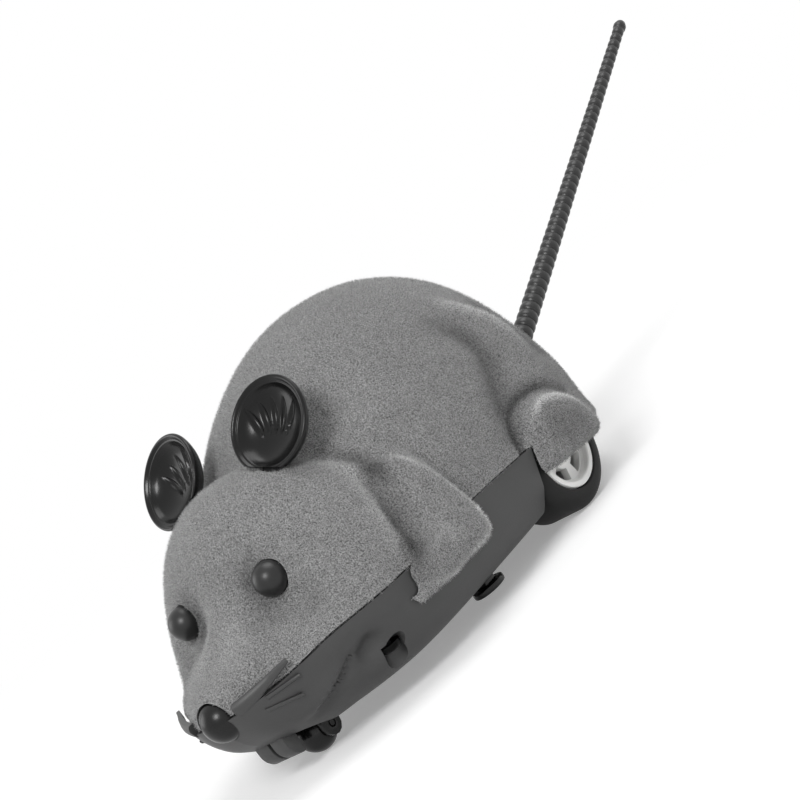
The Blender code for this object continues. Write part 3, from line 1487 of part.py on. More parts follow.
def main():
    """Put the mouse together."""
    clear_scene()
    flock = finish("grey_flock", (0.18, 0.18, 0.18), 0.95)
    dark = finish("dark_grey_abs", (0.08, 0.08, 0.08), 0.4)
    gloss = finish("gloss_black_abs", (0.02, 0.02, 0.02), 0.15)
    satin = finish("satin_black_abs", (0.03, 0.03, 0.03), 0.3)
    rubber = finish("black_rubber", (0.03, 0.03, 0.03), 0.7)
    white = finish("white_abs", (0.8, 0.8, 0.8), 0.4)
    steel = finish("bright_steel", (0.6, 0.6, 0.6), 0.3, 1.0)
    acetal = finish("white_acetal", (0.75, 0.75, 0.72), 0.35)
    grey = finish("grey_abs", (0.3, 0.3, 0.3), 0.4)
    brass = finish("brass", (0.7, 0.5, 0.2), 0.3, 1.0)
    sleeve = finish("cell_sleeve", (0.1, 0.1, 0.12), 0.35)
    green = finish("board_green", (0.03, 0.16, 0.06), 0.5)
    black = finish("component_black", (0.02, 0.02, 0.02), 0.5)
    tin = finish("tinned_steel", (0.6, 0.6, 0.62), 0.3, 1.0)
    build_shell(flock)
    build_chassis(dark)
    build_face(gloss, satin)
    build_tail(rubber, steel)
    build_wheels(rubber, white, steel, acetal)
    build_gearbox(grey, acetal, steel, brass)
    build_motor(steel, grey)
    build_cells(sleeve)
    build_contacts(steel)
    build_door(dark)
    build_board(green, black, tin)
    build_roller(satin, steel)
    build_yoke(satin, steel)
    build_switch(grey, satin)
    build_screws(steel)


main()
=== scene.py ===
"""A robotic mouse cat toy: flocked shell over a dark tub, on two driven wheels and a caster."""
import math

import bmesh
import bpy
import numpy as np
from mathutils import Matrix, Vector


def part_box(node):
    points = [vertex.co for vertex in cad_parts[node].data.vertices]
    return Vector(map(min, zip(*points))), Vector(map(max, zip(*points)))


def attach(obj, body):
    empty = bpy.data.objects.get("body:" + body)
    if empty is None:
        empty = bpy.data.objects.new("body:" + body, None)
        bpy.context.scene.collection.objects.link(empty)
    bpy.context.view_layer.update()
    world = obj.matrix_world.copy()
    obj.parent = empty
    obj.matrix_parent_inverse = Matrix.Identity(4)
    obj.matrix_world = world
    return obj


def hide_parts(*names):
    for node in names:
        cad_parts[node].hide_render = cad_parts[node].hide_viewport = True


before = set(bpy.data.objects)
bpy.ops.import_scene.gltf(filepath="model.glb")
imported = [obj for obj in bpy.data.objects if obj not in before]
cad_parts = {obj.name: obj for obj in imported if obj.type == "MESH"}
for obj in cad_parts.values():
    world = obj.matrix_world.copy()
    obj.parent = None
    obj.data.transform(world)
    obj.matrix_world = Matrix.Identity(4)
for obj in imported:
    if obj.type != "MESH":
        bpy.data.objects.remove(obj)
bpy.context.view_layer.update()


# Lower chassis: the tub that carries everything, moulded in dark ABS with a
# satin skin. Nose, whiskers, smile and the two chin fins are part of the same
# moulding; the belly is open for the batteries, the wheels and the caster.
# Sizes are in mm from the nose end, and a form's points are made in metres.
mm = 0.001
part_gap = 0.3
body_length = 125.4
body_half_width = 31
seam_height = 18.8
belly_height = 5
floor_top = belly_height + 1.6
chassis_headroom = 6
wheel_centre = (0, 89.6, 12)
axle_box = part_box("rear_axle")
# How far the CAD's frame lies behind the nose end, in metres
frame_along = wheel_centre[1] * mm - (axle_box[0][1] + axle_box[1][1]) / 2
both_sides = ((1, "left"), (-1, "right"))

# The seam's height along the body, the plan outline, and how the flank draws in
seam_shares = (
    (-0.1, 0.96), (0.06, 0.965), (0.1, 0.985), (0.15, 1.03), (0.27, 1.02), (0.45, 1.02),
    (0.56, 0.98), (0.67, 0.9), (0.76, 0.74), (0.86, 0.57), (1.1, 0.52),
)
outline_shares = (
    (0.012, 0.0), (0.018, 0.17), (0.035, 0.29), (0.06, 0.39), (0.088, 0.475), (0.12, 0.595),
    (0.16, 0.725), (0.215, 0.85), (0.28, 0.922), (0.36, 0.962), (0.45, 0.982), (0.56, 0.997),
    (0.675, 1.0), (0.755, 0.98), (0.818, 0.92), (0.873, 0.806), (0.92, 0.65), (0.96, 0.45),
    (0.988, 0.235), (1.0, 0.0),
)
flank_shares = (
    (0.0, 0.01, 0.0), (0.32, 0.03, 0.012), (0.6, 0.075, 0.03), (0.82, 0.135, 0.062),
    (0.95, 0.19, 0.09), (1.0, 0.235, 0.105),
)
chin_reach_share = 0.36


def curve_through(rows, steps):
    """A smooth, denser run of values through a few stations."""
    dense = []
    for index in range(len(rows) - 1):
        before, start = rows[max(index - 1, 0)], rows[index]
        end, after = rows[index + 1], rows[min(index + 2, len(rows) - 1)]
        for step in range(steps):
            t = step / steps
            dense.append(tuple(
                0.5 * (2 * b + (c - a) * t + (2 * a - 5 * b + 4 * c - d) * t * t
                       + (3 * b - a - 3 * c + d) * t ** 3)
                for a, b, c, d in zip(before, start, end, after)
            ))
    dense.append(tuple(float(value) for value in rows[-1]))
    return dense


def reading(table, place, column):
    """The value at a place between the rows of a table."""
    for low, high in zip(table, table[1:]):
        if low[0] <= place <= high[0]:
            return low[column] + (high[column] - low[column]) * (place - low[0]) / (high[0] - low[0])
    return table[0][column] if place < table[0][0] else table[-1][column]


seam_curve = curve_through(seam_shares, 6)
outline_curve = curve_through(outline_shares, 9)
flank_curve = curve_through(flank_shares, 5)


def seam_at(along):
    """Height of the seam at a distance from the nose end."""
    return seam_height * reading(seam_curve, along / body_length, 1)


def metres(point):
    """A place or size in mm as a vector in metres."""
    return Vector([value * mm for value in point])


def loft(rings):
    """Draws a closed outline from ring to ring and closes both ends."""
    form = bmesh.new()
    row = bmesh.ops.create_circle(form, segments=len(rings[0]), radius=1.0)["verts"]
    edges = form.edges[:]
    for vert, point in zip(row, rings[0]):
        vert.co = metres(point)
    for ring in rings[1:]:
        made = bmesh.ops.extrude_edge_only(form, edges=edges)["geom"]
        fresh = {item for item in made if isinstance(item, bmesh.types.BMVert)}
        row = [
            next(edge.other_vert(vert) for edge in vert.link_edges if edge.other_vert(vert) in fresh)
            for vert in row
        ]
        for vert, point in zip(row, ring):
            vert.co = metres(point)
        edges = [
            item for item in made
            if isinstance(item, bmesh.types.BMEdge) and item.verts[0] in fresh and item.verts[1] in fresh
        ]
    bmesh.ops.holes_fill(form, edges=[edge for edge in form.edges if edge.is_boundary])
    bmesh.ops.remove_doubles(form, verts=form.verts, dist=0.001 * mm)
    bmesh.ops.recalc_face_normals(form, faces=form.faces)
    return form


def turned(profile, centre, axis, segments):
    """Spins a section of (radius, distance along) about an axis; a section off the axis is a ring."""
    form = bmesh.new()
    axis = Vector(axis).normalized()
    side = axis.orthogonal().normalized()
    centre = metres(centre)
    verts = [form.verts.new(centre + side * (radius * mm) + axis * (along * mm)) for radius, along in profile]
    edges = [form.edges.new(pair) for pair in zip(verts, verts[1:])]
    if profile[0][0] > 0 and profile[-1][0] > 0:
        edges.append(form.edges.new((verts[-1], verts[0])))
    bmesh.ops.spin(
        form, geom=verts + edges, cent=centre, axis=axis, angle=2 * math.pi, steps=segments, use_merge=True
    )
    bmesh.ops.remove_doubles(form, verts=form.verts, dist=0.001 * mm)
    bmesh.ops.dissolve_degenerate(form, edges=form.edges, dist=0.001 * mm)
    bmesh.ops.recalc_face_normals(form, faces=form.faces)
    return form


def arc(x, y, radius, start, end, steps):
    """Points along part of a circle, between two angles in degrees."""
    angles = [math.radians(start + (end - start) * step / steps) for step in range(steps + 1)]
    return [(x + radius * math.cos(angle), y + radius * math.sin(angle)) for angle in angles]


def rod(centre, axis, radius, start, end, segments=32):
    """A plain round bar between two distances along its axis, to cut or join with."""
    return turned(((0.0, start), (radius, start), (radius, end), (0.0, end)), centre, axis, segments)


def wheel_rod(side, radius, start, end):
    """A round tool about the rear axle, on one side."""
    return rod(wheel_centre, (side, 0, 0), radius, start, end, 96)


def upright(across, along, radius, start, end, segments=32):
    """An upright round tool."""
    return rod((across, along, 0), (0, 0, 1), radius, start, end, segments)


def block(low, high):
    """A square-edged tool between two corners."""
    form = bmesh.new()
    bmesh.ops.create_cube(form, size=1.0)
    for vert in form.verts:
        vert.co = metres([a if side < 0 else b for side, a, b in zip(vert.co, low, high)])
    return form


def ball(centre, radius, segments=48):
    """A round tool or bead."""
    form = bmesh.new()
    bmesh.ops.create_uvsphere(
        form, u_segments=segments, v_segments=segments // 2, radius=radius * mm,
        matrix=Matrix.Translation(metres(centre)),
    )
    return form


def settle(piece):
    """Makes what the modifiers show the piece's own mesh."""
    bpy.context.view_layer.update()
    shown = piece.evaluated_get(bpy.context.evaluated_depsgraph_get())
    fresh = bpy.data.meshes.new_from_object(shown)
    worn = piece.data
    piece.modifiers.clear()
    piece.data = fresh
    bpy.data.meshes.remove(worn)


def start_piece(name, form):
    """Puts a form in the scene, still placed from the nose end."""
    bmesh.ops.recalc_face_normals(form, faces=form.faces)
    data = bpy.data.meshes.new(name)
    form.to_mesh(data)
    form.free()
    piece = bpy.data.objects.new(name, data)
    bpy.context.scene.collection.objects.link(piece)
    return piece


def as_form(piece):
    """Takes a piece out of the scene and gives its mesh as a form."""
    form = bmesh.new()
    form.from_mesh(piece.data)
    bpy.data.objects.remove(piece)
    return form


def carve(piece, form, way="DIFFERENCE"):
    """Cuts a form out of a piece, or joins it on, and throws the tool away."""
    tool = start_piece("tool", form)
    step = piece.modifiers.new("cut", "BOOLEAN")
    step.operation = way
    step.solver = "MANIFOLD"
    step.object = tool
    settle(piece)
    worn = tool.data
    bpy.data.objects.remove(tool)
    bpy.data.meshes.remove(worn)


def read_out(rows, what, width, kind=np.float64):
    """One property of all rows of a mesh's data as an array."""
    values = np.empty(len(rows) * width, kind)
    rows.foreach_get(what, values)
    return values.reshape(-1, width)


def pull_at(data, strokes):
    """How strongly soft lines, drawn in mm and alike on both sides, pull at each vertex of a mesh."""
    near = read_out(data.vertices, "co", 3) / mm
    near[:, 0] = np.abs(near[:, 0])
    pull = np.zeros(len(near))
    for width, *rows in strokes:
        line = np.array(curve_through(rows, 8))
        apart = np.linalg.norm(near[:, None, :] - line[None, :, :3], axis=2)
        pull += line[apart.argmin(axis=1), 3] * np.exp(-((apart.min(axis=1) / width) ** 2))
    return pull


def press(piece, strokes):
    """Presses soft grooves (minus) and ridges (plus) of so many mm into a piece."""
    data = piece.data
    out = read_out(data.vertex_normals, "vector", 3)
    moved = read_out(data.vertices, "co", 3) + out * pull_at(data, strokes)[:, None] * mm
    data.vertices.foreach_set("co", moved.ravel())
    data.update()


def dress(piece, finish, body, slot, *nodes, sharp=32):
    """Shades a finished piece, moves its mesh into the frame and ties it to its CAD pieces."""
    piece.data.transform(Matrix.Translation((0.0, -frame_along, 0.0)))
    piece.data.materials.clear()
    piece.data.materials.append(finish)
    piece.data.shade_smooth()
    piece.data.set_sharp_from_angle(angle=math.radians(sharp))
    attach(piece, body)
    if nodes:
        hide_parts(*nodes)


def refinish(finish, *nodes):
    """Gives CAD pieces that stay in view their real finish."""
    for node in nodes:
        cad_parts[node].material_slots[0].material = finish


def linear(tone):
    """An sRGB hex colour as linear red, green, blue and alpha."""
    channels = [int(tone[place:place + 2], 16) / 255 for place in (0, 2, 4)]
    return [c / 12.92 if c <= 0.04045 else ((c + 0.055) / 1.055) ** 2.4 for c in channels] + [1.0]


def wire(tree, node, settings=(), links=()):
    """Gives a node its settings, by attribute or socket, and links from other nodes' outputs."""
    for key, value in dict(settings).items():
        if isinstance(key, str) and hasattr(node, key):
            setattr(node, key, value)
        else:
            node.inputs[key].default_value = value
    for key, source in dict(links).items():
        tree.links.new(source, node.inputs[key])
    return node


def add_node(tree, kind, settings=(), links=()):
    """Adds a node of a kind, set and linked."""
    return wire(tree, tree.nodes.new("ShaderNode" + kind), settings, links)


def noise(tree, own, size, detail, **more):
    """Noise whose patches are about so many mm wide."""
    settings = {"Scale": 1 / (size * mm), "Detail": detail, **more}
    return add_node(tree, "TexNoise", settings, {"Vector": own}).outputs[0]


def tones(tree, dark, light, share):
    """A colour between two tones."""
    settings = {"data_type": "RGBA", 6: linear(dark), 7: linear(light)}
    return add_node(tree, "Mix", settings, {0: share}).outputs[2]


def between(tree, share, low, high, start=0.0, end=1.0):
    """A value that goes from low to high as a share goes from start to end."""
    settings = {"From Min": start, "From Max": end, "To Min": low, "To Max": high}
    return add_node(tree, "MapRange", settings, {0: share}).outputs[0]


def relief(tree, height, depth, strength=1.0):
    """A bump so many mm deep."""
    settings = {"Strength": strength, "Distance": depth * mm}
    return add_node(tree, "Bump", settings, {"Height": height}).outputs[0]


def fresh_finish(name):
    """A new finish: its node tree, its shader and the piece's own coordinates."""
    finish = bpy.data.materials.new(name)
    finish.use_nodes = True
    tree = finish.node_tree
    return finish, tree, tree.nodes["Principled BSDF"], add_node(tree, "TexCoord").outputs["Object"]


def moulded_plastic(name, dark, light, smoothness, grain, depth, shine=0.5):
    """Moulded plastic: faint flow clouds some 15 mm wide, and the mould's spark-eroded grain."""
    finish, tree, shader, own = fresh_finish(name)
    skin = noise(tree, own, grain, 3.0)
    wire(tree, shader, {"IOR": 1.53, "Specular IOR Level": shine}, {
        "Base Color": tones(tree, dark, light, noise(tree, own, 15, 4.0)),
        "Roughness": between(tree, skin, *smoothness),
        "Normal": relief(tree, skin, depth),
    })
    return finish


def level_place(width, along, down, inset):
    """Where an outline point lies at one level of the flank, the chin pushed back."""
    draw = inset + reading(flank_curve, down, 1) * body_half_width
    middle = body_length / 2
    y = middle + (along - middle) * (1 - draw / middle)
    fade = max(0.0, 1 - y / (chin_reach_share * body_length))
    return width * (1 - draw / body_half_width), y + reading(flank_curve, down, 2) * body_length * fade * fade


def chassis_form(inset, bottom):
    """The tub as level outlines from the belly up past the seam."""
    levels = [(0.0, seam_height + chassis_headroom)]
    levels += [(row[0], seam_height + (bottom - seam_height) * row[0]) for row in flank_curve]
    rings = []
    for down, height in levels:
        side = [level_place(w * body_half_width, a * body_length, down, inset) for a, w in outline_curve]
        loop = side + [(-x, y) for x, y in reversed(side[1:-1])]
        rings.append([(x, y, height) for x, y in loop])
    return loft(rings)


def seam_slab(lift, far):
    """A wide slab with one face along the seam."""
    half = body_half_width * 2
    rings = []
    for along_share, _ in seam_curve:
        along = along_share * body_length
        edge = seam_at(along) + lift
        rings.append([(half, along, edge), (-half, along, edge), (-half, along, far), (half, along, far)])
    return loft(rings)


def flank_point(along_share, height_share, stand, side):
    """A place on the flank, standing out from it by a little."""
    height = seam_height * height_share
    down = min(max((seam_height - height) / (seam_height - belly_height), 0.0), 1.0)
    near, here, far = (
        Vector(level_place(reading(outline_curve, share, 1) * body_half_width, share * body_length, down, 0))
        for share in (along_share - 0.008, along_share, along_share + 0.008)
    )
    tangent = (far - near).normalized()
    place = here + Vector((tangent.y, -tangent.x)) * stand
    return Vector((side * place.x, place.y, height))


def flank_line(shares):
    """A line on the flank through shares of the length and the seam's height, with its pull."""
    return [(*flank_point(along, height, 0.0, 1), pull) for along, height, pull in shares]


# Screw posts: place across and along, the height of the well below and of the hole above
posts = [
    (side * across, along, well_top, hole_top)
    for across, along, well_top, hole_top in ((21.4, 27, 11, 23), (10.5, 114, 7.4, 20)) for side in (1, -1)
]
post_radius, screw_hole_radius = 3.4, 1.3
well_inner, well_outer, well_radius = 16.5, 29.9, 13.2
pocket_along, pocket_radius, pocket_top = 17.5, 8.2, 11
switch_across, switch_along = 19.7, 58.8
door_screw_along = 84.2
nose_centre = (0, 5, 17.9)

tub = start_piece("tub", chassis_form(0.0, belly_height))
# The smile: a narrow soft crease up each cheek from under the nose, a lip before it, a dimple behind
mouth_shares = (
    (0.05, 0.475, -0.3), (0.07, 0.49, -0.9), (0.096, 0.54, -1.4), (0.12, 0.62, -1.5), (0.136, 0.7, -1.2),
    (0.143, 0.775, -0.4),
)
crease = flank_line(mouth_shares)
lip = [(x, along - 1.9, z + 0.5, -0.7 * depth) for x, along, z, depth in crease]
cheek = flank_line(((0.158, 0.62, -2.6), (0.17, 0.67, -2.4)))
brow = flank_line(((0.12, 0.93, 0.7), (0.18, 0.92, 0.7), (0.235, 0.83, 0.7)))
press(tub, ((1.1, *crease), (1.8, *lip), (2.6, *cheek), (2.0, *brow)))
carve(tub, seam_slab(-part_gap / 2, 3 * seam_height))
hollow = start_piece("tub_hollow", chassis_form(3.8, floor_top))
for side in (1, -1):
    carve(hollow, wheel_rod(side, well_radius + 1.5, well_inner - 1.5, 2 * body_half_width))
carve(hollow, upright(0, pocket_along, pocket_radius + 1.4, 0.0, pocket_top + 1.6, 64))
for across, along, _, _ in posts:
    carve(hollow, upright(across, along, post_radius, 0.0, 60))
carve(tub, as_form(hollow))
# Walls of the battery bay and of the front well for the door's screw
carve(tub, block((-16, 26, 5.8), (16, 82.05, 22.75)), "UNION")
carve(tub, block((7, 81, 3.4), (14.7, 98.2, 6.2)), "UNION")
# The front wells break through the flank as small notches with round tops
for side in (1, -1):
    carve(tub, rod((0, 27, 10.1), (side, 0.0, 0.0), 1.75, 21.4, 2 * body_half_width))
carve(tub, ball(nose_centre, 4.15, 64), "UNION")
carve(tub, upright(0, door_screw_along, post_radius, 5.8, 14), "UNION")
# The wheel wells close in towards the flank, round the tyres' shoulders
opening = (
    (0.0, well_inner), (well_radius, well_inner), (well_radius, 25.4), (12.6, 27), (11.6, 28.4),
    (11.6, 2 * body_half_width), (0.0, 2 * body_half_width),
)
for side in (1, -1):
    carve(tub, turned(opening, wheel_centre, (side, 0, 0), 96))
carve(tub, upright(0, pocket_along, pocket_radius, 0.0, pocket_top, 96))
carve(tub, block((-14.95, 27, 0.0), (14.95, 81, 21.7)))
for across, along, well_top, _ in posts:
    carve(tub, upright(across, along, 2.22, 0.0, well_top, 48))
    carve(tub, upright(across, along, screw_hole_radius, well_top - 3, 60))
# The slot of the switch, the pocket by the door, the axle's holes and the caster's
carve(tub, block(
    (switch_across - 1.5, switch_along - 3.9, 0.0), (switch_across + 1.5, switch_along + 3.9, 9.6)
))
carve(tub, block((8.1, 82.6, 4.6), (11.5, 96.6, 9.6)))
for side in (1, -1):
    carve(tub, wheel_rod(side, 1.3, well_inner - 3, well_inner + 3))
carve(tub, upright(0, 16.5, 1.8, 0.0, 60))
# The door's catch, its two tongues and its screw
carve(tub, block((-4, 78, 0.0), (4, 86.2, 6.6)))
for side in (1, -1):
    carve(tub, block((side * 11 - 1.8, 24.5, floor_top), (side * 11 + 1.8, 27.3, 9.4)))
carve(tub, upright(0, door_screw_along, 1.4, 0.0, 12.8))

# Small raised nicks cross the crease
nick_count = 9
for index in range(nick_count):
    t = index / (nick_count - 1)
    along, height = 0.088 + (0.14 - 0.088) * t, 0.53 + (0.735 - 0.53) * t
    for side in (1, -1):
        rings = []
        for across, tall in ((-0.55, 0.3), (0.0, 0.5), (0.55, 0.3)):
            place = along + across * 0.006
            spot = flank_point(place, height - across * 0.055 + 0.03 * math.sin(9 * t), -1.3, side)
            away = flank_point(place, height, 3, side) - spot
            away.z = 0.0
            away.normalize()
            corners = ((-0.13, -0.3), (0.13, -0.3), (0.13, tall), (-0.13, tall))
            rings.append([spot + Vector((0.0, 0.0, lift)) + away * out for lift, out in corners])
        carve(tub, loft(rings), "UNION")

# Two fins under the chin, their lower front corners well rounded
for side in (1, -1):
    outline = [(13.4, 11.8), (9.7, 11.8), *arc(13.2, 7.4, 3.5, 180, 270, 16)]
    fin = loft([[(side * across, a, b) for a, b in outline] for across in (0.3, 3.7)])
    bmesh.ops.bevel(
        fin, geom=[e for e in fin.edges if e.calc_face_angle(0) > 0.6], offset=0.25 * mm, segments=2,
        profile=0.5, affect="EDGES", material=-1,
    )
    carve(tub, fin, "UNION")

# Three raised whisker tongues a side, thickest at the root, the first standing over the flock
whisker_shares = (
    (0.02, 0.985, 0.075, 0.09, 1.095, 0.024, 1.0),
    (0.047, 0.925, 0.026, 0.09, 0.905, 0.02, 0.75),
    (0.037, 0.825, 0.026, 0.076, 0.735, 0.02, 0.75),
)
whisker_section = ((-1, 0), (-1, 0.7), (-0.7, 0.93), (-0.3, 1), (0.3, 1), (0.7, 0.93), (1, 0.7), (1, 0))
for index, (along0, height0, half0, along1, height1, half1, tip_stand) in enumerate(whisker_shares):
    for side in (1, -1):
        rings = []
        for step in range(17):
            t = step / 16
            stand = 0.35 + (tip_stand - 0.35) * t * t
            deep = -0.8 if index else stand - 0.8 * (2 - t)
            half = half0 + (half1 - half0) * t
            rings.append([
                flank_point(
                    along0 + (along1 - along0) * t, height0 + (height1 - height0) * t + lift * half,
                    deep + (stand - deep) * out, side,
                )
                for lift, out in whisker_section
            ])
        carve(tub, loft(rings), "UNION")

# Satin ABS: fine spark-eroded mould grain about 0.2 mm across, drawn at 0.3 mm so that it shows
satin = ("343434", "3b3b3b", (0.42, 0.56), 0.3, 0.012)
satin_abs = moulded_plastic("satin_moulded_abs", *satin)
# The tub's own skin is the same, but the nose comes polished and darker out of the mould
tub_abs = moulded_plastic("tub_satin_abs_polished_nose", *satin)
tree = tub_abs.node_tree
shader = tree.nodes["Principled BSDF"]
own = tree.nodes["Texture Coordinate"].outputs["Object"]
nose_place = metres(nose_centre) - Vector((0.0, frame_along, 0.0))
reach = add_node(tree, "VectorMath", {"operation": "DISTANCE", 1: nose_place}, {0: own})
on_nose = between(tree, reach.outputs["Value"], 0.0, 1.0, 4.4 * mm, 4.2 * mm)
for socket, value in (("Base Color", linear("161616")), ("Roughness", (0.26, 0.26, 0.26, 1.0))):
    plain = shader.inputs[socket].links[0].from_socket
    blend = add_node(tree, "Mix", {"data_type": "RGBA", 7: value}, {0: on_nose, 6: plain})
    tree.links.new(blend.outputs[2], shader.inputs[socket])
tree.links.new(between(tree, on_nose, 0.5, 0.25), shader.inputs["Specular IOR Level"])
dress(tub, tub_abs, "chassis", "chassis_abs", "lower_chassis")


# Rear wheels: soft black rubber tyres pressed on white moulded hubs with five
# windows, on a ground steel axle that runs in the tub's side walls.
tyre_inner, tyre_outer, tyre_radius, shoulder = 17.4, 28.4, 12, 3
bore, boss, rim = 1.3, 2.6, 6.7
face, back = tyre_outer - 1.6, tyre_outer - 3.2
window_count, window_half_angle = 5, 22

# Moulded rubber: matt, with a faint grain and a dusty bloom in patches about 4 mm wide
rubber, tree, shader, own = fresh_finish("moulded_rubber")
wire(tree, shader, {"Roughness": 0.6, "IOR": 1.5, "Specular IOR Level": 0.25}, {
    "Base Color": tones(tree, "171717", "222222", noise(tree, own, 4, 5.0)),
    "Normal": relief(tree, noise(tree, own, 0.4, 4.0), 0.03),
})

# White ABS: glossier than the tub, with a trace of grey in the flow
white_abs = moulded_plastic("white_moulded_abs", "f6f6f4", "fcfcfa", (0.28, 0.4), 0.4, 0.006)

for side, tag in both_sides:
    profile = [
        (8.3, tyre_inner + 0.2), (8.5, tyre_inner), (11, tyre_inner), (11.35, tyre_inner + 0.1),
        (11.7, tyre_inner + 0.35), (tyre_radius, tyre_inner + 1),
        *arc(tyre_radius - shoulder, tyre_outer - shoulder, shoulder, 0, 90, 12),
        (8.5, tyre_outer), (8.3, tyre_outer - 0.2),
    ]
    tyre = start_piece("tyre_%s_dressed" % tag, turned(profile, wheel_centre, (side, 0, 0), 112))
    dress(tyre, rubber, "rear_axle_set", "tyre_rubber", "tyre_" + tag)

    profile = (
        (bore, tyre_inner), (boss, tyre_inner), (boss, back), (rim, back), (rim, tyre_inner),
        (8, tyre_inner), (8, tyre_outer - 0.25), (7.9, tyre_outer - 0.05), (7.75, tyre_outer),
        (6.95, tyre_outer), (6.75, tyre_outer - 0.2), (rim, face + 0.4), (6.3, face), (2.9, face),
        (boss, face + 0.3), (boss, tyre_outer - 0.5), (2.4, tyre_outer - 0.3), (bore, tyre_outer - 0.3),
    )
    hub = start_piece("wheel_hub_%s_dressed" % tag, turned(profile, wheel_centre, (side, 0, 0), 96))
    for index in range(window_count):
        start = 90 + 360 * index / window_count - window_half_angle
        end = start + 2 * window_half_angle
        outline = arc(*wheel_centre[1:], 6, start, end, 12) + arc(*wheel_centre[1:], 3.6, end, start, 12)
        carve(hub, loft([[(side * across, a, b) for a, b in outline] for across in (back - 1, face + 1)]))
    dress(hub, white_abs, "rear_axle_set", "hub_abs", "wheel_hub_" + tag)


# Front caster: a hard gloss ball with flat cheeks that rolls in a swivelling
# yoke under the chin; the yoke hangs from a screw and a washer inside.
roller_radius, roller_flat, roller_half, roller_bore, roller_eye = 4, 3.2, 3.3, 0.9, 2.0
# Polished ABS: nearly black, with a soft clear highlight
polished_abs = moulded_plastic("polished_moulded_abs", "131313", "191919", (0.2, 0.28), 0.5, 0.003, 0.3)
reach = math.degrees(math.asin(roller_flat / roller_radius))
profile = [
    (roller_bore, -roller_half), (roller_eye, -roller_half), *arc(0, 0, roller_radius, -reach, reach, 32),
    (roller_eye, roller_half), (roller_bore, roller_half),
]
roller = start_piece("caster_roller_dressed", turned(profile, (0, 20.8, roller_radius), (1, 0, 0), 96))
dress(roller, polished_abs, "roller", "roller_abs", "caster_roller")


def trim_copy(node, name, width):
    """A merged copy of a CAD piece with its flat faces whole and its edges eased by so many mm."""
    form = bmesh.new()
    form.from_mesh(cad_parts[node].data)
    bmesh.ops.remove_doubles(form, verts=form.verts, dist=0.002 * mm)
    bmesh.ops.dissolve_limit(
        form, angle_limit=math.radians(1), verts=form.verts, edges=form.edges, use_dissolve_boundaries=False
    )
    bmesh.ops.translate(form, verts=form.verts, vec=(0.0, frame_along, 0.0))
    piece = start_piece(name, form)
    step = piece.modifiers.new("eased_edges", "BEVEL")
    step.width = width * mm
    step.segments = 2
    step.limit_method = "ANGLE"
    step.angle_limit = math.radians(40)
    step.use_clamp_overlap = True
    settle(piece)
    return piece


yoke = trim_copy("caster_yoke", "caster_yoke_dressed", 0.15)
dress(yoke, polished_abs, "caster", "roller_abs", "caster_yoke")
refinish(polished_abs, "caster_pin")

# Zinc-plated steel: bright, with a faint drawn grain 0.3 mm wide along each piece
plated_steel, tree, shader, own = fresh_finish("zinc_plated_steel")
drawn = add_node(tree, "Mapping", {"Scale": (1 / (0.3 * mm), 1 / (3 * mm), 1 / (3 * mm))}, {"Vector": own})
streaks = add_node(tree, "TexNoise", {"Scale": 1.0, "Detail": 4.0}, {"Vector": drawn.outputs[0]}).outputs[0]
wire(tree, shader, {"Metallic": 1.0}, {
    "Base Color": tones(tree, "a9abad", "c3c5c6", streaks), "Roughness": between(tree, streaks, 0.24, 0.42),
})
refinish(plated_steel, "caster_washer", "rear_axle", "idler_shaft", "motor_shaft", "antenna_wire")


# Battery door and power switch: the door is the same satin ABS as the tub,
# held by two tongues and a screw; a black knob slides in the belly.
door = trim_copy("battery_door", "battery_door_dressed", 0.2)
dress(door, satin_abs, "door", "chassis_abs", "battery_door")
knob = trim_copy("switch_knob", "switch_knob_dressed", 0.25)
for step in range(-3, 4):
    groove = switch_along + step * 0.8
    carve(knob, block((switch_across - 1.6, groove - 0.2, 1), (switch_across + 1.6, groove + 0.2, 2.45)))
dress(knob, polished_abs, "switch_slider", "knob_abs", "switch_knob")
refinish(satin_abs, "switch_body")


# Screws: pan-head self-tapping screws with a cross recess, in the belly wells,
# in the door and in the board.
def soft_metal(name, dark, light, smoothness, patch, detail=5.0):
    """Sheet, cast or blacked metal, its tone and polish varying in soft patches."""
    finish, tree, shader, own = fresh_finish(name)
    patches = noise(tree, own, patch, detail)
    wire(tree, shader, {"Metallic": 1.0}, {
        "Base Color": tones(tree, dark, light, patches), "Roughness": between(tree, patches, *smoothness),
    })
    return finish


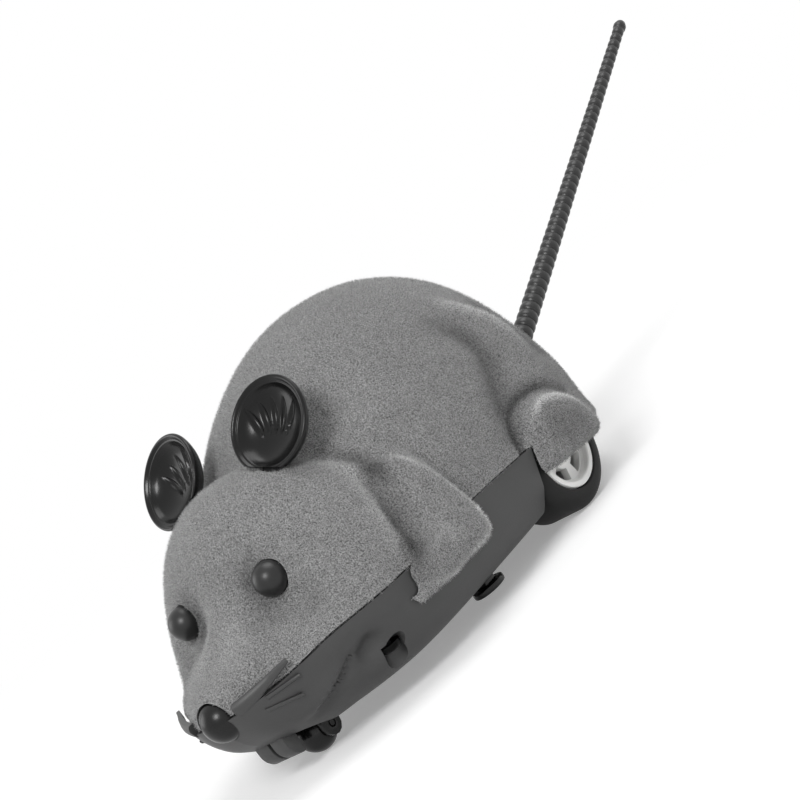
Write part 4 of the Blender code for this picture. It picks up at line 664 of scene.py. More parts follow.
# Blacked steel: oil-finished, dark and soft in its shine, in patches about 1 mm wide
blacked_steel = soft_metal("oil_blacked_steel", "111111", "1a1a1a", (0.32, 0.5), 1, 4.0)
refinish(blacked_steel, "caster_screw")
for node in [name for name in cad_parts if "screw" in name and name != "caster_screw"]:
    low, high = ([value / mm for value in corner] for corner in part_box(node))
    across, along = (low[0] + high[0]) / 2, (low[1] + high[1]) / 2 + frame_along / mm
    head, head_height, shank = (1.6, 1.1, 0.8) if node.startswith(("board", "door")) else (2.1, 1.6, 1.0)
    way = 1 if node.startswith("board") else -1
    seat = high[2] - head_height if way > 0 else low[2] + head_height
    length = high[2] - low[2] - head_height
    profile = [(0.0, -length), (shank * 0.4, -length + shank)]
    pitch = 0.9 * shank
    for index in range(int((length - 1.4 * shank) / pitch)):
        base = -length + shank + pitch * index
        profile += [(shank * 0.78, base + 0.1 * pitch), (shank, base + 0.5 * pitch)]
        profile += [(shank * 0.78, base + 0.9 * pitch)]
    profile += [(shank * 0.8, 0.0), (head, 0.0), (head, head_height * 0.25)]
    for step in range(1, 9):
        angle = math.pi / 2 * step / 8
        lift = head_height * (0.25 + 0.75 * math.sin(angle))
        profile.append((head * math.cos(angle) ** 0.6 if step < 8 else 0.0, lift))
    screw = start_piece(node + "_dressed", turned(profile, (across, along, seat), (0, 0, way), 40))
    above, below = seat + way * (head_height + 1), seat + way * head_height * 0.3
    for wide, long in ((head * 0.55, head * 0.13), (head * 0.13, head * 0.55)):
        carve(screw, block(
            (across - wide, along - long, min(above, below)), (across + wide, along + long, max(above, below))
        ))
    dress(screw, blacked_steel, "door" if node.startswith("door") else "chassis", "fastener_steel", node)


# Inside the tub: two AA cells with their contacts, the receiver board and its
# parts, and the gear train with its motor, in the finishes that such parts have.
# Shrink sleeve on the cells: gloss black with a copper-coloured band at the positive end
band_edge = -55
sleeve, tree, shader, own = fresh_finish("printed_shrink_sleeve")
along_cell = add_node(tree, "SeparateXYZ", {}, {0: own}).outputs[1]
band = add_node(tree, "Math", {"operation": "GREATER_THAN", 1: band_edge * mm}, {0: along_cell}).outputs[0]
wire(tree, shader, {}, {
    "Base Color": tones(tree, "1e1e20", "a8683c", band),
    "Roughness": between(tree, noise(tree, own, 2, 4.0), 0.18, 0.34),
})
refinish(sleeve, "battery_cell_left", "battery_cell_right")

# Glass-epoxy laminate: green solder mask over a weave with 0.5 mm threads, drawn at 1 mm
laminate, tree, shader, own = fresh_finish("solder_masked_laminate")
greens = {"Color1": linear("2d5b3c"), "Color2": linear("336544"), "Mortar": linear("264f34")}
weave = add_node(tree, "TexBrick", {"Scale": 1 / (2 * mm), **greens}, {"Vector": own})
wire(tree, shader, {"Roughness": 0.3}, {
    "Base Color": weave.outputs[0], "Normal": relief(tree, weave.outputs[1], 0.02, 0.4),
})
refinish(laminate, "receiver_board")

refinish(
    moulded_plastic("moulded_epoxy", "1c1c1d", "242425", (0.45, 0.6), 0.25, 0.01),
    "receiver_chip", "driver_chip", "capacitor", "motor_end_cap",
)
refinish(soft_metal("tinned_steel", "b2b3b0", "c9cac6", (0.25, 0.4), 1.5), "tuning_coil", "crystal")
refinish(
    soft_metal("nickel_plated_spring_steel", "b7b4a8", "cbc8bd", (0.2, 0.35), 2),
    "contact_bridge", "contact_positive", "contact_negative",
)
refinish(soft_metal("zinc_plated_motor_can", "9da0a2", "b7b9ba", (0.3, 0.45), 3), "motor_can")
refinish(soft_metal("turned_brass", "b58d43", "c9a157", (0.22, 0.34), 1), "motor_pinion")
refinish(
    moulded_plastic("moulded_acetal", "d9d8d0", "e3e2da", (0.3, 0.42), 0.5, 0.004), "axle_gear", "idler_gear"
)
refinish(
    moulded_plastic("grey_moulded_abs", "5b5c5e", "65666a", (0.4, 0.55), 0.3, 0.01),
    "gearbox_case", "gearbox_cover",
)


# Upper shell: moulded in one piece with the head, snout, front legs and the
# rear paws that cap the wheels, then coated all over with grey nylon flock.
body_height = 62.7
foot_height = 4.8
# Place along, half width, height and squareness of each arch
dome_shares = (
    (0.27, 0.71, 0.54, 2.0), (0.31, 0.84, 0.64, 2.0), (0.357, 0.929, 0.74, 2.05), (0.413, 0.966, 0.835, 2.1),
    (0.476, 0.985, 0.915, 2.15), (0.556, 0.997, 0.976, 2.2), (0.635, 1.0, 1.0, 2.2),
    (0.714, 0.994, 0.985, 2.2), (0.778, 0.965, 0.943, 2.15), (0.833, 0.895, 0.883, 2.1),
    (0.881, 0.775, 0.791, 2.05), (0.925, 0.605, 0.658, 2.0), (0.96, 0.42, 0.508, 2.0),
    (0.988, 0.215, 0.355, 2.0), (1.0, 0.07, 0.22, 2.0),
)
head_shares = (
    (0.04, 0.2, 0.32, 1.6), (0.064, 0.34, 0.355, 1.5), (0.088, 0.45, 0.38, 1.4), (0.12, 0.59, 0.42, 1.3),
    (0.16, 0.722, 0.54, 1.25), (0.19, 0.795, 0.65, 1.45), (0.222, 0.856, 0.718, 1.7),
    (0.262, 0.909, 0.763, 1.95), (0.302, 0.929, 0.775, 2.1), (0.341, 0.925, 0.762, 2.1),
    (0.376, 0.9, 0.73, 2.1), (0.407, 0.83, 0.68, 2.1), (0.43, 0.74, 0.62, 2.1),
)
snout_shares = (
    (0.022, 0.08, 0.33, 2.0), (0.028, 0.16, 0.355, 2.2), (0.045, 0.235, 0.378, 2.3),
    (0.073, 0.31, 0.395, 2.3), (0.1, 0.35, 0.42, 2.3), (0.143, 0.34, 0.485, 2.2), (0.183, 0.26, 0.575, 2.0),
)
# Height, place across and along, half width, half length and flare of each level outline
leg_shares = (
    (0.205, 0.715, 0.35, 0.3, 0.09, 0.12), (0.23, 0.723, 0.35, 0.335, 0.097, 0.12),
    (0.3, 0.723, 0.354, 0.335, 0.09, 0.13), (0.345, 0.7, 0.3617, 0.335, 0.0765, 0.2),
    (0.385, 0.673, 0.375, 0.33, 0.059, 0.28), (0.43, 0.655, 0.386, 0.33, 0.043, 0.32),
    (0.48, 0.622, 0.386, 0.33, 0.0367, 0.32), (0.54, 0.587, 0.3775, 0.33, 0.0307, 0.32),
    (0.6, 0.507, 0.361, 0.31, 0.022, 0.32), (0.64, 0.43, 0.357, 0.24, 0.012, 0.32),
)
paw_shares = (
    (0.175, 0.715, 0.712, 0.34, 0.09, 0.0), (0.195, 0.72, 0.712, 0.375, 0.0955, 0.0),
    (0.245, 0.72, 0.709, 0.38, 0.092, 0.0), (0.295, 0.72, 0.706, 0.38, 0.078, 0.0),
    (0.335, 0.72, 0.702, 0.375, 0.058, 0.0), (0.36, 0.72, 0.697, 0.36, 0.034, 0.0),
    (0.37, 0.72, 0.696, 0.34, 0.018, 0.0),
)


def shell_form(shares, inset, steps, count):
    """A form drawn over its arched stations, smaller by the inset on every side."""
    rows = curve_through(shares, steps)
    start, end = rows[0][0] * body_length, rows[-1][0] * body_length
    middle = (start + end) / 2
    shrink = 1 - 2 * inset / (end - start)
    rings = []
    for along_share, width_share, height_share, squareness in rows:
        along = middle + (along_share * body_length - middle) * shrink
        half = max(width_share * body_half_width - inset, 0.2)
        foot = seam_at(along)
        rise = max(height_share * body_height - inset - foot, part_gap)
        ring = [(half, along, foot_height)]
        for index in range(count + 1):
            angle = math.pi * index / count
            across = math.copysign(abs(math.cos(angle)) ** (2 / squareness), math.cos(angle))
            ring.append((half * across, along, foot + rise * abs(math.sin(angle)) ** (2 / squareness)))
        ring.append((-half, along, foot_height))
        rings.append(ring)
    return loft(rings)


def limb(shares, front, rear, slope, side, grow=0.0, lower=0.0):
    """A leg or a paw raised from level outlines, rounder in front and standing further out behind."""
    rings = []
    for place, (height, across, along, half_width, half_length, flare) in enumerate(curve_through(shares, 4)):
        ring = []
        for index in range(56):
            c, s = math.cos(2 * math.pi * index / 56), math.sin(2 * math.pi * index / 56)
            power = 2 / (rear if s > 0 else front)
            outward = (body_half_width * half_width + grow) * math.copysign(abs(c) ** power, c)
            forward = (half_length * body_length + grow) * math.copysign(abs(s) ** power, s)
            x = body_half_width * across + outward + flare * forward
            z = height * body_height + slope * forward - (lower if place == 0 else 0.0)
            ring.append((side * x, body_length * along + forward, z))
        rings.append(ring)
    return loft(rings)


def soften(piece, rounds):
    """Evens out a piece's skin."""
    step = piece.modifiers.new("soft_skin", "SMOOTH")
    step.factor = 0.5
    step.iterations = rounds
    settle(piece)


limb_settings = ((leg_shares, 2.7, 5.0, -0.03), (paw_shares, 2.5, 3.6, -0.11))
whole = bmesh.new()
forms = [
    shell_form(shares, 0.0, 5, count)
    for shares, count in ((dome_shares, 72), (head_shares, 72), (snout_shares, 56))
]
for side in (1, -1):
    forms.extend(limb(*settings, side) for settings in limb_settings)
    elbow = bmesh.new()
    bmesh.ops.create_uvsphere(elbow, u_segments=48, v_segments=24, radius=1.0)
    bmesh.ops.scale(elbow, verts=elbow.verts, vec=metres((5, 8.5, 4.8)))
    bmesh.ops.translate(elbow, verts=elbow.verts, vec=metres((side * 29, 42.5, 17)))
    forms.append(elbow)
for form in forms:
    data = bpy.data.meshes.new("form")
    form.to_mesh(data)
    form.free()
    whole.from_mesh(data)
    bpy.data.meshes.remove(data)
shell = start_piece("flocked_shell", whole)
step = shell.modifiers.new("one_skin", "REMESH")
step.mode = "VOXEL"
step.voxel_size = 0.7 * mm
step.use_smooth_shade = True
soften(shell, 6)
# Soft modelling: the crease between cheek and leg, the knee, the leg's rear edge, the hollows under
# the eyes, the snout's pad, the haunch's ridge with its valley, and the flank behind it
press(shell, (
    (2.8, (25.2, 46.6, 37.4, -1.0), (26, 46.2, 36, -1.5), (28, 43.6, 31.5, -2.3), (29.4, 42, 26.5, -2.6),
     (30.5, 41, 22.5, -2.3), (30, 36.5, 18.6, -1.6), (29, 34, 16, -1.2)),
    (2.0, (24.5, 46.8, 37.6, -0.4), (21, 46.6, 39.8, -0.8), (18.2, 46.2, 41.3, -0.6),
     (15.5, 45.5, 43, -0.2)),
    (1.3, (26.8, 50.4, 37, 0.5), (29, 52.2, 33.1, 0.9), (30.8, 53.4, 27.9, 0.8), (33, 54.2, 20.7, 0.4),
     (33.4, 54.2, 15, 0.2)),
    (1.3, (25.5, 52.8, 38.5, -0.5), (27.6, 54.8, 33.6, -0.9), (29.2, 56, 28.2, -0.9),
     (30.2, 57.2, 20.5, -0.7)),
    (3.4, (19.5, 23, 22, -1.2), (18.2, 21.5, 25.8, -2.6), (15, 20, 28, -2.4), (11, 19, 28.5, -2.3),
     (8.4, 19.1, 29.5, -2.4), (6.7, 20.5, 32, -1.6), (5.8, 21.5, 34.3, -0.6)),
    (4.0, (7.5, 11, 23, 0.7)),
    (2.2, (21.5, 90, 50, 0.3), (24.3, 94.8, 43.6, 0.9), (25.3, 97.7, 39.8, 1.1), (26.4, 99.3, 34.8, 1.0),
     (28.6, 97, 28.5, 0.4)),
    (3.2, (25.8, 84, 46, -0.4), (26.5, 87, 41, -1.1), (28.6, 87.3, 35.8, -1.5), (29.9, 83.1, 30.3, -1.5),
     (30.6, 79.6, 26, -1.2), (30.8, 77.5, 21, -0.9)),
    (3.0, (22, 103, 42, -0.6), (23.5, 106, 36, -1.0), (24.5, 106, 29, -1.0)),
    (4.5, (26.5, 101, 19, -0.8), (22, 108, 15, -1.0)),
    (1.1, (31, 76.8, 12, -0.8), (31, 76.7, 18, -1.3), (30.8, 79.6, 23, -1.5), (30.5, 85, 25.2, -1.5),
     (29.6, 93.5, 23.8, -1.5), (28.2, 100, 19.4, -1.0)),
    (0.9, (33.4, 79.6, 18.2, 0.2), (33.4, 82.8, 21.4, 0.4), (33.2, 87, 22.4, 0.4), (33, 93, 20.2, 0.4),
     (32.8, 98.6, 15.6, 0.3)),
    (0.9, (34, 86.3, 11.5, -0.9), (34, 86.5, 14, -0.6), (33.8, 86.8, 16.5, -0.1)),
))
soften(shell, 2)

# The seam edge is cut after the skin is smooth, so that it stays crisp; the legs run on below it
under = start_piece("below_seam", seam_slab(part_gap / 2, -seam_height))
for side in (1, -1):
    for settings in limb_settings:
        carve(under, limb(*settings, side, 0.5, 0.4))
carve(shell, as_form(under))
room = start_piece("tub_room", chassis_form(-part_gap, belly_height - part_gap))
carve(room, seam_slab(0.05, body_height))
carve(shell, as_form(room))
# The wall is thick enough to carry the soft modelling on its outside
hollow = start_piece("shell_hollow", shell_form(dome_shares, 2.8, 2, 24))
carve(hollow, shell_form(head_shares, 5.4, 2, 24), "UNION")
for across, along, _, _ in posts:
    carve(hollow, upright(across, along, post_radius, -seam_height, body_height))
# The rooms for the wheels follow the tyres' round shoulders, so that they stay inside the paws
room_end = well_outer - 0.9
wheel_room = (
    (0.0, well_inner), (well_radius, well_inner), (well_radius, 25.4), (12.5, 27), (10, room_end),
    (0.0, room_end),
)
for side in (1, -1):
    carve(hollow, turned(wheel_room, wheel_centre, (side, 0, 0), 96), "UNION")
carve(shell, as_form(hollow))


def facing(splay, lift, side):
    """A direction that looks forward, turned outwards and up by so many degrees."""
    splay, lift = math.radians(splay), math.radians(lift)
    level = math.cos(lift)
    return Vector((side * math.sin(splay) * level, -math.cos(splay) * level, math.sin(lift)))


# Sockets for the eyes and the nose, and holes for the eyes' pegs, the screws and the tail
eyes = [((side * 12.1, 22.8, 31.9), facing(32, 18, side)) for side in (1, -1)]
for centre, _ in eyes:
    carve(shell, ball(centre, 3.45))
carve(shell, ball(nose_centre, 4.5))
for centre, look in eyes:
    carve(shell, rod(centre, look, 1.4, -6.3, 0.0))
for across, along, _, hole_top in posts:
    carve(shell, upright(across, along, screw_hole_radius, 0.0, hole_top))
tail_base = (0, 121.6, 21.2)
tail_way = Vector((0, math.cos(math.radians(19)), math.sin(math.radians(19))))
carve(shell, rod(tail_base, tail_way, 2.7, -3.4, 8, 48))

ear_radius = 9.1
ear_base = -0.84 * ear_radius
ear_peg = (2.5, 6, 2, 1.6)


def ear_frame(side):
    """Centre of an ear in mm with its across, up and outward directions."""
    outward = facing(9, 37, side)
    level = Vector((0, 0, 1)).cross(outward).normalized()
    twist = side * math.radians(26)
    across = level * math.cos(twist) - outward.cross(level) * math.sin(twist)
    return (side * 14.5, 43.4, 52), across, outward.cross(across), outward


def ear_block(side, low, high):
    """A square-edged tool measured along an ear's own directions."""
    centre, across, up, outward = ear_frame(side)
    form = block(low, high)
    for vert in form.verts:
        vert.co = metres(centre) + across * vert.co.x + up * vert.co.y + outward * vert.co.z
    return form


def peg_tool(side, spare):
    """The tongue that plugs an ear in the shell."""
    half, length, back, thick = ear_peg
    low = (-half - spare, ear_base - length - spare, -back - thick - spare)
    return ear_block(side, low, (half + spare, ear_base + thick + spare, -back + spare))


ear_profile_shares = (
    (0.0, -0.5), (0.4, -0.46), (0.7, -0.34), (0.9, -0.15), (1.0, 0.02), (0.975, 0.075), (0.91, 0.06),
    (0.74, -0.11), (0.52, -0.23), (0.27, -0.3), (0.0, -0.32),
)
back_rows = 5
for side in (1, -1):
    carve(shell, peg_tool(side, part_gap))
    room = [
        (r * (ear_radius + part_gap), a * ear_radius + (-part_gap if index < back_rows else part_gap))
        for index, (r, a) in enumerate(ear_profile_shares)
    ]
    centre, _, _, outward = ear_frame(side)
    carve(shell, turned(room, centre, outward, 48))

# Painted shade darkens the coat in its creases and hollows, and painted light brightens it along its ridges
# and edges
shell.data.attributes.new("painted_crease_shade_and_edge_light", "FLOAT", "POINT").data.foreach_set("value", pull_at(shell.data, (
    (2.4, (24.5, 46.6, 38.5, -0.4), (26, 46, 36, -0.9), (27.2, 43.4, 31.5, -1.0), (28, 41.6, 26.5, -1.1),
     (28.8, 39.6, 22, -1.0), (29.5, 36.5, 18.6, -0.7)),
    (1.6, (23.5, 46.8, 38.2, -0.6), (19.5, 46.4, 40.6, -0.6), (15.5, 45.5, 43, -0.2)),
    (3.2, (25.8, 84, 46, -0.3), (26.5, 87, 41, -0.55), (28.6, 87.3, 35.8, -0.6), (29.9, 83.1, 30.3, -0.6),
     (30.6, 79.6, 26, -0.6), (30.8, 77.5, 21, -0.55)),
    (2.8, (22, 103, 42, -0.35), (23.5, 106, 36, -0.5), (24.5, 106, 29, -0.4)),
    (1.3, (30.2, 76.9, 18, -0.6), (30, 79.6, 23.2, -0.6), (29.6, 85, 25.6, -0.6), (28.8, 93.5, 24.2, -0.5),
     (27.4, 100, 19.6, -0.4)),
    (2.6, (9.2, 20.4, 30, -0.7), (8.2, 22.2, 33, -0.6), (10, 23, 36, -0.3)),
    (2.0, (12.5, 19.8, 28.6, -0.5)),
    (2.0, (14, 46, 44.5, 0.3), (16.9, 45.6, 42.4, 0.45), (21.3, 44.6, 38, 0.5), (25.1, 42, 33.7, 0.6),
     (27.1, 39.4, 29.5, 0.6), (28.3, 37.2, 25.1, 0.5), (29, 35.6, 20.5, 0.3)),
    (1.0, (24.3, 48, 40.5, 0.6), (27, 49.8, 37, 1.1), (29.8, 51.6, 33.1, 1.3), (32, 53.2, 27.9, 1.3),
     (33.2, 54.1, 20.7, 1.2), (33.3, 54.4, 14.5, 1.1)),
    (0.8, (33.2, 54.2, 13.4, 1.0), (32.8, 48, 13, 1.1), (31.6, 40.3, 12.8, 1.0), (30.4, 36, 13.6, 0.6),
     (28, 33.4, 13.8, 0.3)),
    (2.2, (33.8, 45, 19, 0.35)),
    (0.9, (30.6, 78.8, 17, 0.3), (31.4, 79.6, 19.5, 0.8), (32.4, 81.8, 21.6, 1.2), (33, 84.6, 22.9, 1.2),
     (33.4, 88, 22.6, 1.2), (33.4, 91, 21.4, 1.2), (33, 94.5, 19, 1.2), (32.3, 97.5, 16, 1.1),
     (31.2, 99.8, 13, 0.8)),
    (3.6, (33.2, 86, 17.5, -0.3), (33.2, 91, 15.5, -0.3)),
    (1.7, (23, 92, 47.5, 0.5), (24.8, 95, 43.8, 0.7), (26, 98, 40, 0.75), (27.2, 99.5, 35, 0.5)),
    (3.0, (4, 12, 27, 0.25), (5, 17, 32, 0.25)),
)))


def painted_shade_and_light_toned(tree, tone):
    """A colour darkened by painted shade in the creases and lightened by painted light along the edges."""
    nap = add_node(tree, "Attribute", {"attribute_name": "painted_crease_shade_and_edge_light"}).outputs["Fac"]
    strength = between(tree, nap, 0.24, 2.0, -1.0, 1.0)
    return add_node(tree, "VectorMath", {"operation": "SCALE"}, {0: tone, "Scale": strength}).outputs[0]


# Nylon flock: fibres about 0.6 mm long stand all over it. Their tips catch the light, so the
# coat is matt, paler at its edges and speckled; the speckle of single tips is drawn at 0.27 mm
flock, tree, shader, own = fresh_finish("electrostatic_nylon_flock")
tips = noise(tree, own, 0.27, 1.0, Roughness=0.7)
fine = tones(tree, "4c4c4c", "aeaeae", between(tree, tips, 0.0, 1.0, 0.28, 0.72))
broad = tones(tree, "e6e6e6", "ffffff", noise(tree, own, 9, 3.0))
coat = add_node(tree, "Mix", {"data_type": "RGBA", "blend_type": "MULTIPLY", 0: 1.0}, {6: fine, 7: broad})
# The coat's base colour carries the painted shade in the creases and the painted light along the edges
wire(tree, shader, {
    "Roughness": 0.95, "Specular IOR Level": 0.15, "Sheen Weight": 0.6, "Sheen Roughness": 0.3,
    "Sheen Tint": linear("dcdcdc"),
}, {"Base Color": painted_shade_and_light_toned(tree, coat.outputs[2]), "Normal": relief(tree, tips, 0.18)})
dress(shell, flock, "chassis", "flocked_shell", "upper_shell", sharp=50)


# Flock fibres: cut nylon fibres, blown on with a charge so that they stand on
# end in the glue. One flat blade stands for a few of them; they make the soft
# rim along every edge. Each stands at a random place and leans its own way.
fibre_count = 190000
fibre_half_width, fibre_lean, fibre_seed = 0.045, 0.45, 7
fibre_shortest, fibre_longest = 0.35, 0.75
lowest_fibre = 8
skin = shell.data
skin.calc_loop_triangles()
corners = read_out(skin.loop_triangles, "vertices", 3, np.int32)
faces = read_out(skin.vertices, "co", 3, np.float32)[corners]
cross = np.cross(faces[:, 1] - faces[:, 0], faces[:, 2] - faces[:, 0])
area = np.linalg.norm(cross, axis=1)
keep = area > 1e-14
normal = np.zeros_like(cross)
normal[keep] = cross[keep] / area[keep, None]
# Only faces that look away from the middle of the shell carry fibres
middle = faces.mean(axis=1)
away = middle - np.array([0.0, 72 * mm - frame_along, 24 * mm])
away[:, 1] *= 0.45
keep &= (np.einsum("ij,ij->i", normal, away) > 0) & (middle[:, 2] > lowest_fibre * mm)
dice = np.random.default_rng(fibre_seed)
share = np.where(keep, area, 0.0)
chosen = dice.choice(len(faces), fibre_count, p=share / share.sum())
u, v = dice.random(fibre_count), dice.random(fibre_count)
fold = u + v > 1
u[fold], v[fold] = 1 - u[fold], 1 - v[fold]
corner = faces[chosen]
root = corner[:, 0] + u[:, None] * (corner[:, 1] - corner[:, 0]) + v[:, None] * (corner[:, 2] - corner[:, 0])
way = normal[chosen] + dice.normal(0, fibre_lean, (fibre_count, 3))
way /= np.linalg.norm(way, axis=1)[:, None]
flat = np.cross(way, dice.normal(0, 1, (fibre_count, 3)))
flat *= fibre_half_width * mm / np.linalg.norm(flat, axis=1)[:, None]
length = dice.uniform(fibre_shortest, fibre_longest, fibre_count)[:, None] * mm
blades = np.stack([root - flat, root + flat, root + way * length], axis=1)
# Each blade takes the painted shade and painted light of the skin under its root
shade = read_out(skin.attributes["painted_crease_shade_and_edge_light"].data, "value", 1, np.float32)[corners[chosen, 0], 0]
made = bpy.data.meshes.new("flock_fibres")
made.vertices.add(fibre_count * 3)
made.vertices.foreach_set("co", blades.astype(np.float32).ravel())
made.loops.add(fibre_count * 3)
made.loops.foreach_set("vertex_index", np.arange(fibre_count * 3, dtype=np.int32))
made.polygons.add(fibre_count)
made.polygons.foreach_set("loop_start", np.arange(0, fibre_count * 3, 3, dtype=np.int32))
made.update(calc_edges=True)
made.attributes.new("painted_crease_shade_and_edge_light", "FLOAT", "POINT").data.foreach_set("value", np.repeat(shade, 3))
fibres = bpy.data.objects.new("flock_fibres", made)
bpy.context.scene.collection.objects.link(fibres)
# Single nylon fibres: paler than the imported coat, since light passes through their tips
fibre_finish, tree, shader, own = fresh_finish("cut_nylon_fibre")
spread = add_node(tree, "TexWhiteNoise", {}, {"Vector": own}).outputs[0]
# The fibres' colour carries the coat's painted shade in the creases and painted light along the edges
wire(tree, shader, {"Roughness": 0.9, "Specular IOR Level": 0.2}, {
    "Base Color": painted_shade_and_light_toned(tree, tones(tree, "6a6a6a", "d0d0d0", spread)),
})
made.materials.append(fibre_finish)
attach(fibres, "chassis")


# Eyes: two satin black half-beads on pegs, pushed into the flocked face.
# Satin black ABS: a broad soft highlight over a nearly even skin
bead_abs = moulded_plastic("satin_black_abs", "1d1d1d", "242424", (0.32, 0.4), 0.4, 0.004, 0.35)
for (side, tag), (centre, look) in zip(both_sides, eyes):
    eye = start_piece("eye_%s_dressed" % tag, ball(centre, 3.3, 64))
    carve(eye, rod(centre, look, 1.1, -6, -1), "UNION")
    dress(eye, bead_abs, "chassis", "eye_abs", "eye_" + tag)


# Ears: gloss black bowls with a rolled double rim, a fan of five grooves and a
# straight lower edge, each plugged into the shell by a flat tongue.
ear_curve_shares = (
    (0.0, -0.5), (0.2, -0.49), (0.4, -0.46), (0.56, -0.41), (0.7, -0.34), (0.81, -0.25), (0.9, -0.15),
    (0.965, -0.06), (0.995, 0.0), (1.0, 0.035), (0.985, 0.065), (0.96, 0.075), (0.93, 0.066), (0.9, 0.04),
    (0.88, 0.022), (0.86, 0.018), (0.84, 0.006), (0.8, -0.045), (0.74, -0.11), (0.64, -0.178), (0.52, -0.235),
    (0.4, -0.275), (0.27, -0.3), (0.13, -0.314), (0.0, -0.32),
)
groove_width, groove_depth = 0.55, 0.55


def score_fan(form, side):
    """Presses five short leaf-shaped grooves into the bowl, fanning out over its upper half."""
    centre, across, up, outward = ear_frame(side)
    middle = metres(centre)
    source = -0.75 * ear_radius
    for vert in form.verts:
        off = (vert.co - middle) / mm
        x, y, z = off.dot(across), off.dot(up), off.dot(outward)
        radius = math.hypot(x, y) / ear_radius
        if radius > 0.84 or z < (-0.34 + 0.36 * radius ** 2.4) * ear_radius:
            continue
        depth = 0.0
        for step in range(-2, 3):
            angle = math.radians(13) * step - side * math.radians(9)
            run = x * math.sin(angle) + (y - source) * math.cos(angle)
            apart = abs(x * math.cos(angle) - (y - source) * math.sin(angle))
            leaf = math.sin(math.pi * min(max((run / ear_radius - 0.6) / 0.75, 0.0), 1.0)) ** 0.7
            if leaf > 0.05:
                depth = max(depth, leaf * math.exp(-((apart / (groove_width * leaf)) ** 4)))
        vert.co -= outward * (groove_depth * mm * depth)


# Gloss ABS: almost black, reflects the room softly
gloss_abs = moulded_plastic("gloss_moulded_abs", "070707", "0b0b0b", (0.2, 0.26), 0.6, 0.003, 0.25)
for side, tag in both_sides:
    centre, _, _, outward = ear_frame(side)
    section = [(max(r, 0.0) * ear_radius, a * ear_radius) for r, a in curve_through(ear_curve_shares, 4)]
    bowl = turned(section, centre, outward, 240)
    score_fan(bowl, side)
    ear = start_piece("ear_%s_dressed" % tag, bowl)
    low, high = (-ear_radius, -2 * ear_radius, -ear_radius), (ear_radius, ear_base, ear_radius)
    carve(ear, ear_block(side, low, high))
    carve(ear, peg_tool(side, 0.0), "UNION")
    dress(ear, gloss_abs, "chassis", "ear_abs", "ear_" + tag)


# Tail: a soft ribbed rubber sheath that tapers to a small cone and covers the
# aerial wire; a flange holds it inside the shell.
tail_length, rib_count, neck = 120, 46, 7
tail_radius, tip_radius, rib_depth = 2.5, 1.35, 0.62
wire_end = tail_length - 1.35
profile = [
    (0.0, wire_end), (0.8, wire_end), (0.8, -7), (tail_radius, -7), (tail_radius, -4.8), (4.4, -4.8),
    (4.4, -3.4), (tail_radius, -3.4),
]
pitch = (tail_length - neck) / rib_count
for index in range(rib_count):
    for step in range(8):
        share = step / 8
        drop = 1 - math.sqrt(max(1 - (2 * share - 1) ** 2, 0.0))
        along = neck + pitch * (index + share)
        outer = tail_radius + (tip_radius - tail_radius) * along / tail_length
        profile.append((outer - drop * rib_depth * outer / tail_radius, along))
tip_rows = ((1.3, 0.0), (1.5, 0.4), (1.5, 1.2), (1.15, 2.2), (0.6, 2.9), (0.0, 3.1))
profile += [(radius, tail_length + beyond) for radius, beyond in tip_rows]
tail = start_piece("tail_sheath_dressed", turned(profile, tail_base, tail_way, 32))
# Soft rubber: a little lighter than the tyres, slightly shiny on the ribs' crests
soft_rubber = moulded_plastic("soft_moulded_rubber", "1f1f1f", "272727", (0.3, 0.38), 0.5, 0.008, 0.4)
dress(tail, soft_rubber, "chassis", "tail_rubber", "tail_sheath", sharp=60)


# Studio: a pale floor, white all round for the camera and for reflections,
# and broad soft lamps; the camera stands where the photographer stood.
def either_ray(tree, rays, *kinds):
    """One for a ray of either kind, and else nothing."""
    links = dict(enumerate(rays[kind] for kind in kinds))
    return add_node(tree, "Math", {"operation": "MAXIMUM"}, links).outputs[0]


floor_form = bmesh.new()
bmesh.ops.create_grid(floor_form, x_segments=1, y_segments=1, size=4.0)
floor = start_piece("studio_floor", floor_form)
floor_finish, tree, shader, own = fresh_finish("white_studio_paper")
rays = add_node(tree, "LightPath").outputs
seen = either_ray(tree, rays, "Is Camera Ray", "Is Glossy Ray")
lift = add_node(tree, "Math", {"operation": "MULTIPLY", 1: 0.28}, {0: seen})
wire(tree, shader, {
    "Base Color": linear("e9e9e9"), "Emission Color": linear("ffffff"), "Roughness": 0.9,
    "Specular IOR Level": 0.1,
}, {"Normal": relief(tree, noise(tree, own, 1.2, 3.0), 0.02, 0.2), "Emission Strength": lift.outputs[0]})
far_off = add_node(tree, "VectorMath", {"operation": "LENGTH"}, {0: own}).outputs["Value"]
out = add_node(
    tree, "MapRange", {"From Min": 0.14, "From Max": 0.3, "interpolation_type": "SMOOTHSTEP"}, {0: far_off}
)
edge = add_node(tree, "Math", {"operation": "MULTIPLY"}, {0: out.outputs[0], 1: seen})
white_paper = add_node(tree, "Emission", {"Strength": 1.0})
paper = add_node(tree, "MixShader", {}, {0: edge.outputs[0], 1: shader.outputs[0], 2: white_paper.outputs[0]})
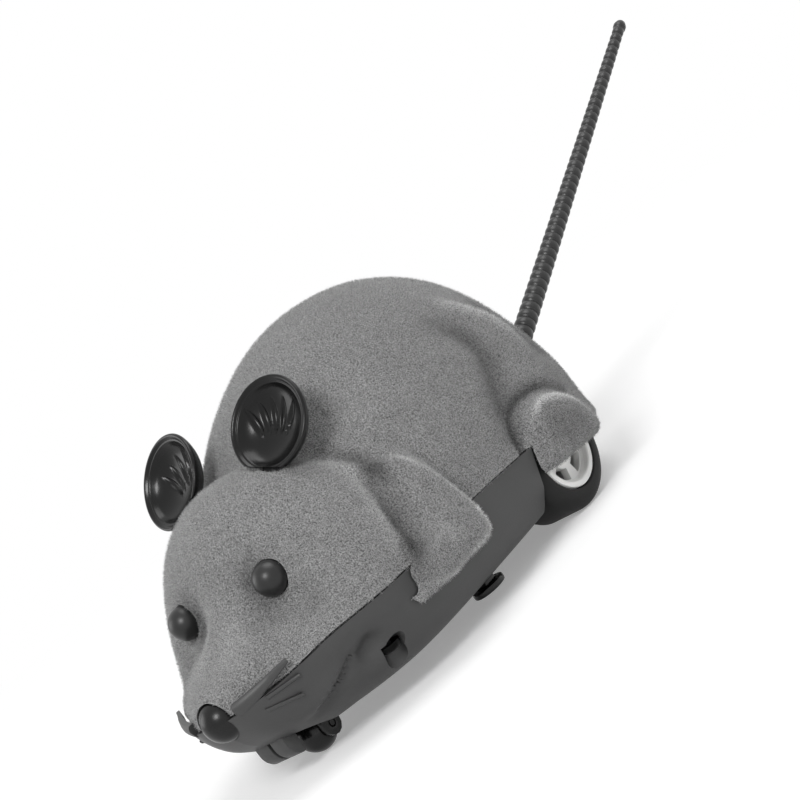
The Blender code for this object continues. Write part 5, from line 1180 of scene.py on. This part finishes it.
wire(tree, tree.nodes["Material Output"], {}, {"Surface": paper.outputs[0]})
floor.data.materials.append(floor_finish)

world = bpy.data.worlds.new("studio_room")
bpy.context.scene.world = world
world.use_nodes = True
tree = world.node_tree
tree.nodes.clear()
rays = add_node(tree, "LightPath").outputs
clear = either_ray(tree, rays, "Is Glossy Ray", "Is Transmission Ray")
seen = add_node(tree, "Math", {"operation": "MAXIMUM"}, {0: rays["Is Camera Ray"], 1: clear})
room_light = add_node(tree, "Background", {"Color": linear("ffffff"), "Strength": 0.36})
white = add_node(tree, "Background", {"Color": linear("ffffff"), "Strength": 1.0})
mixed = add_node(tree, "MixShader", {}, {0: seen.outputs[0], 1: room_light.outputs[0], 2: white.outputs[0]})
add_node(tree, "OutputWorld", {}, {0: mixed.outputs[0]})

focus = Vector((0.0, -0.0599222, 0.028))
for name, place, size, power in (
    ("key_softbox", (0.35, -0.75, 0.62), 0.32, 5.6),
    ("fill_softbox", (-0.8, -0.3, 0.35), 0.5, 1.6),
    ("top_softbox", (0.25, 0.35, 0.9), 0.6, 3.7),
):
    lamp = bpy.data.lights.new(name, "AREA")
    lamp.shape = "SQUARE"
    lamp.size = size
    lamp.energy = power
    holder = bpy.data.objects.new(name, lamp)
    holder.location = focus + Vector(place)
    holder.rotation_euler = (-Vector(place)).to_track_quat("-Z", "Y").to_euler()
    bpy.context.scene.collection.objects.link(holder)

azimuth, elevation, roll = 41.025, 7.831, 36.528
turn = Matrix.Identity(4)
for angle, axis in ((azimuth, "Z"), (90 - elevation, "X"), (-roll, "Z")):
    turn = turn @ Matrix.Rotation(math.radians(angle), 4, axis)
camera = bpy.data.objects.new("photo_camera", bpy.data.cameras.new("photo_camera"))
camera.data.lens = 118.16
camera.data.sensor_width = 36.0
camera.data.clip_start = 0.01
camera.data.clip_end = 20.0
camera.matrix_world = Matrix.Translation(focus) @ turn @ Matrix.Translation(metres((10.966, 21.072, 493.388)))
bpy.context.scene.collection.objects.link(camera)
bpy.context.scene.camera = camera
bpy.context.scene.view_settings.view_transform = "Standard"
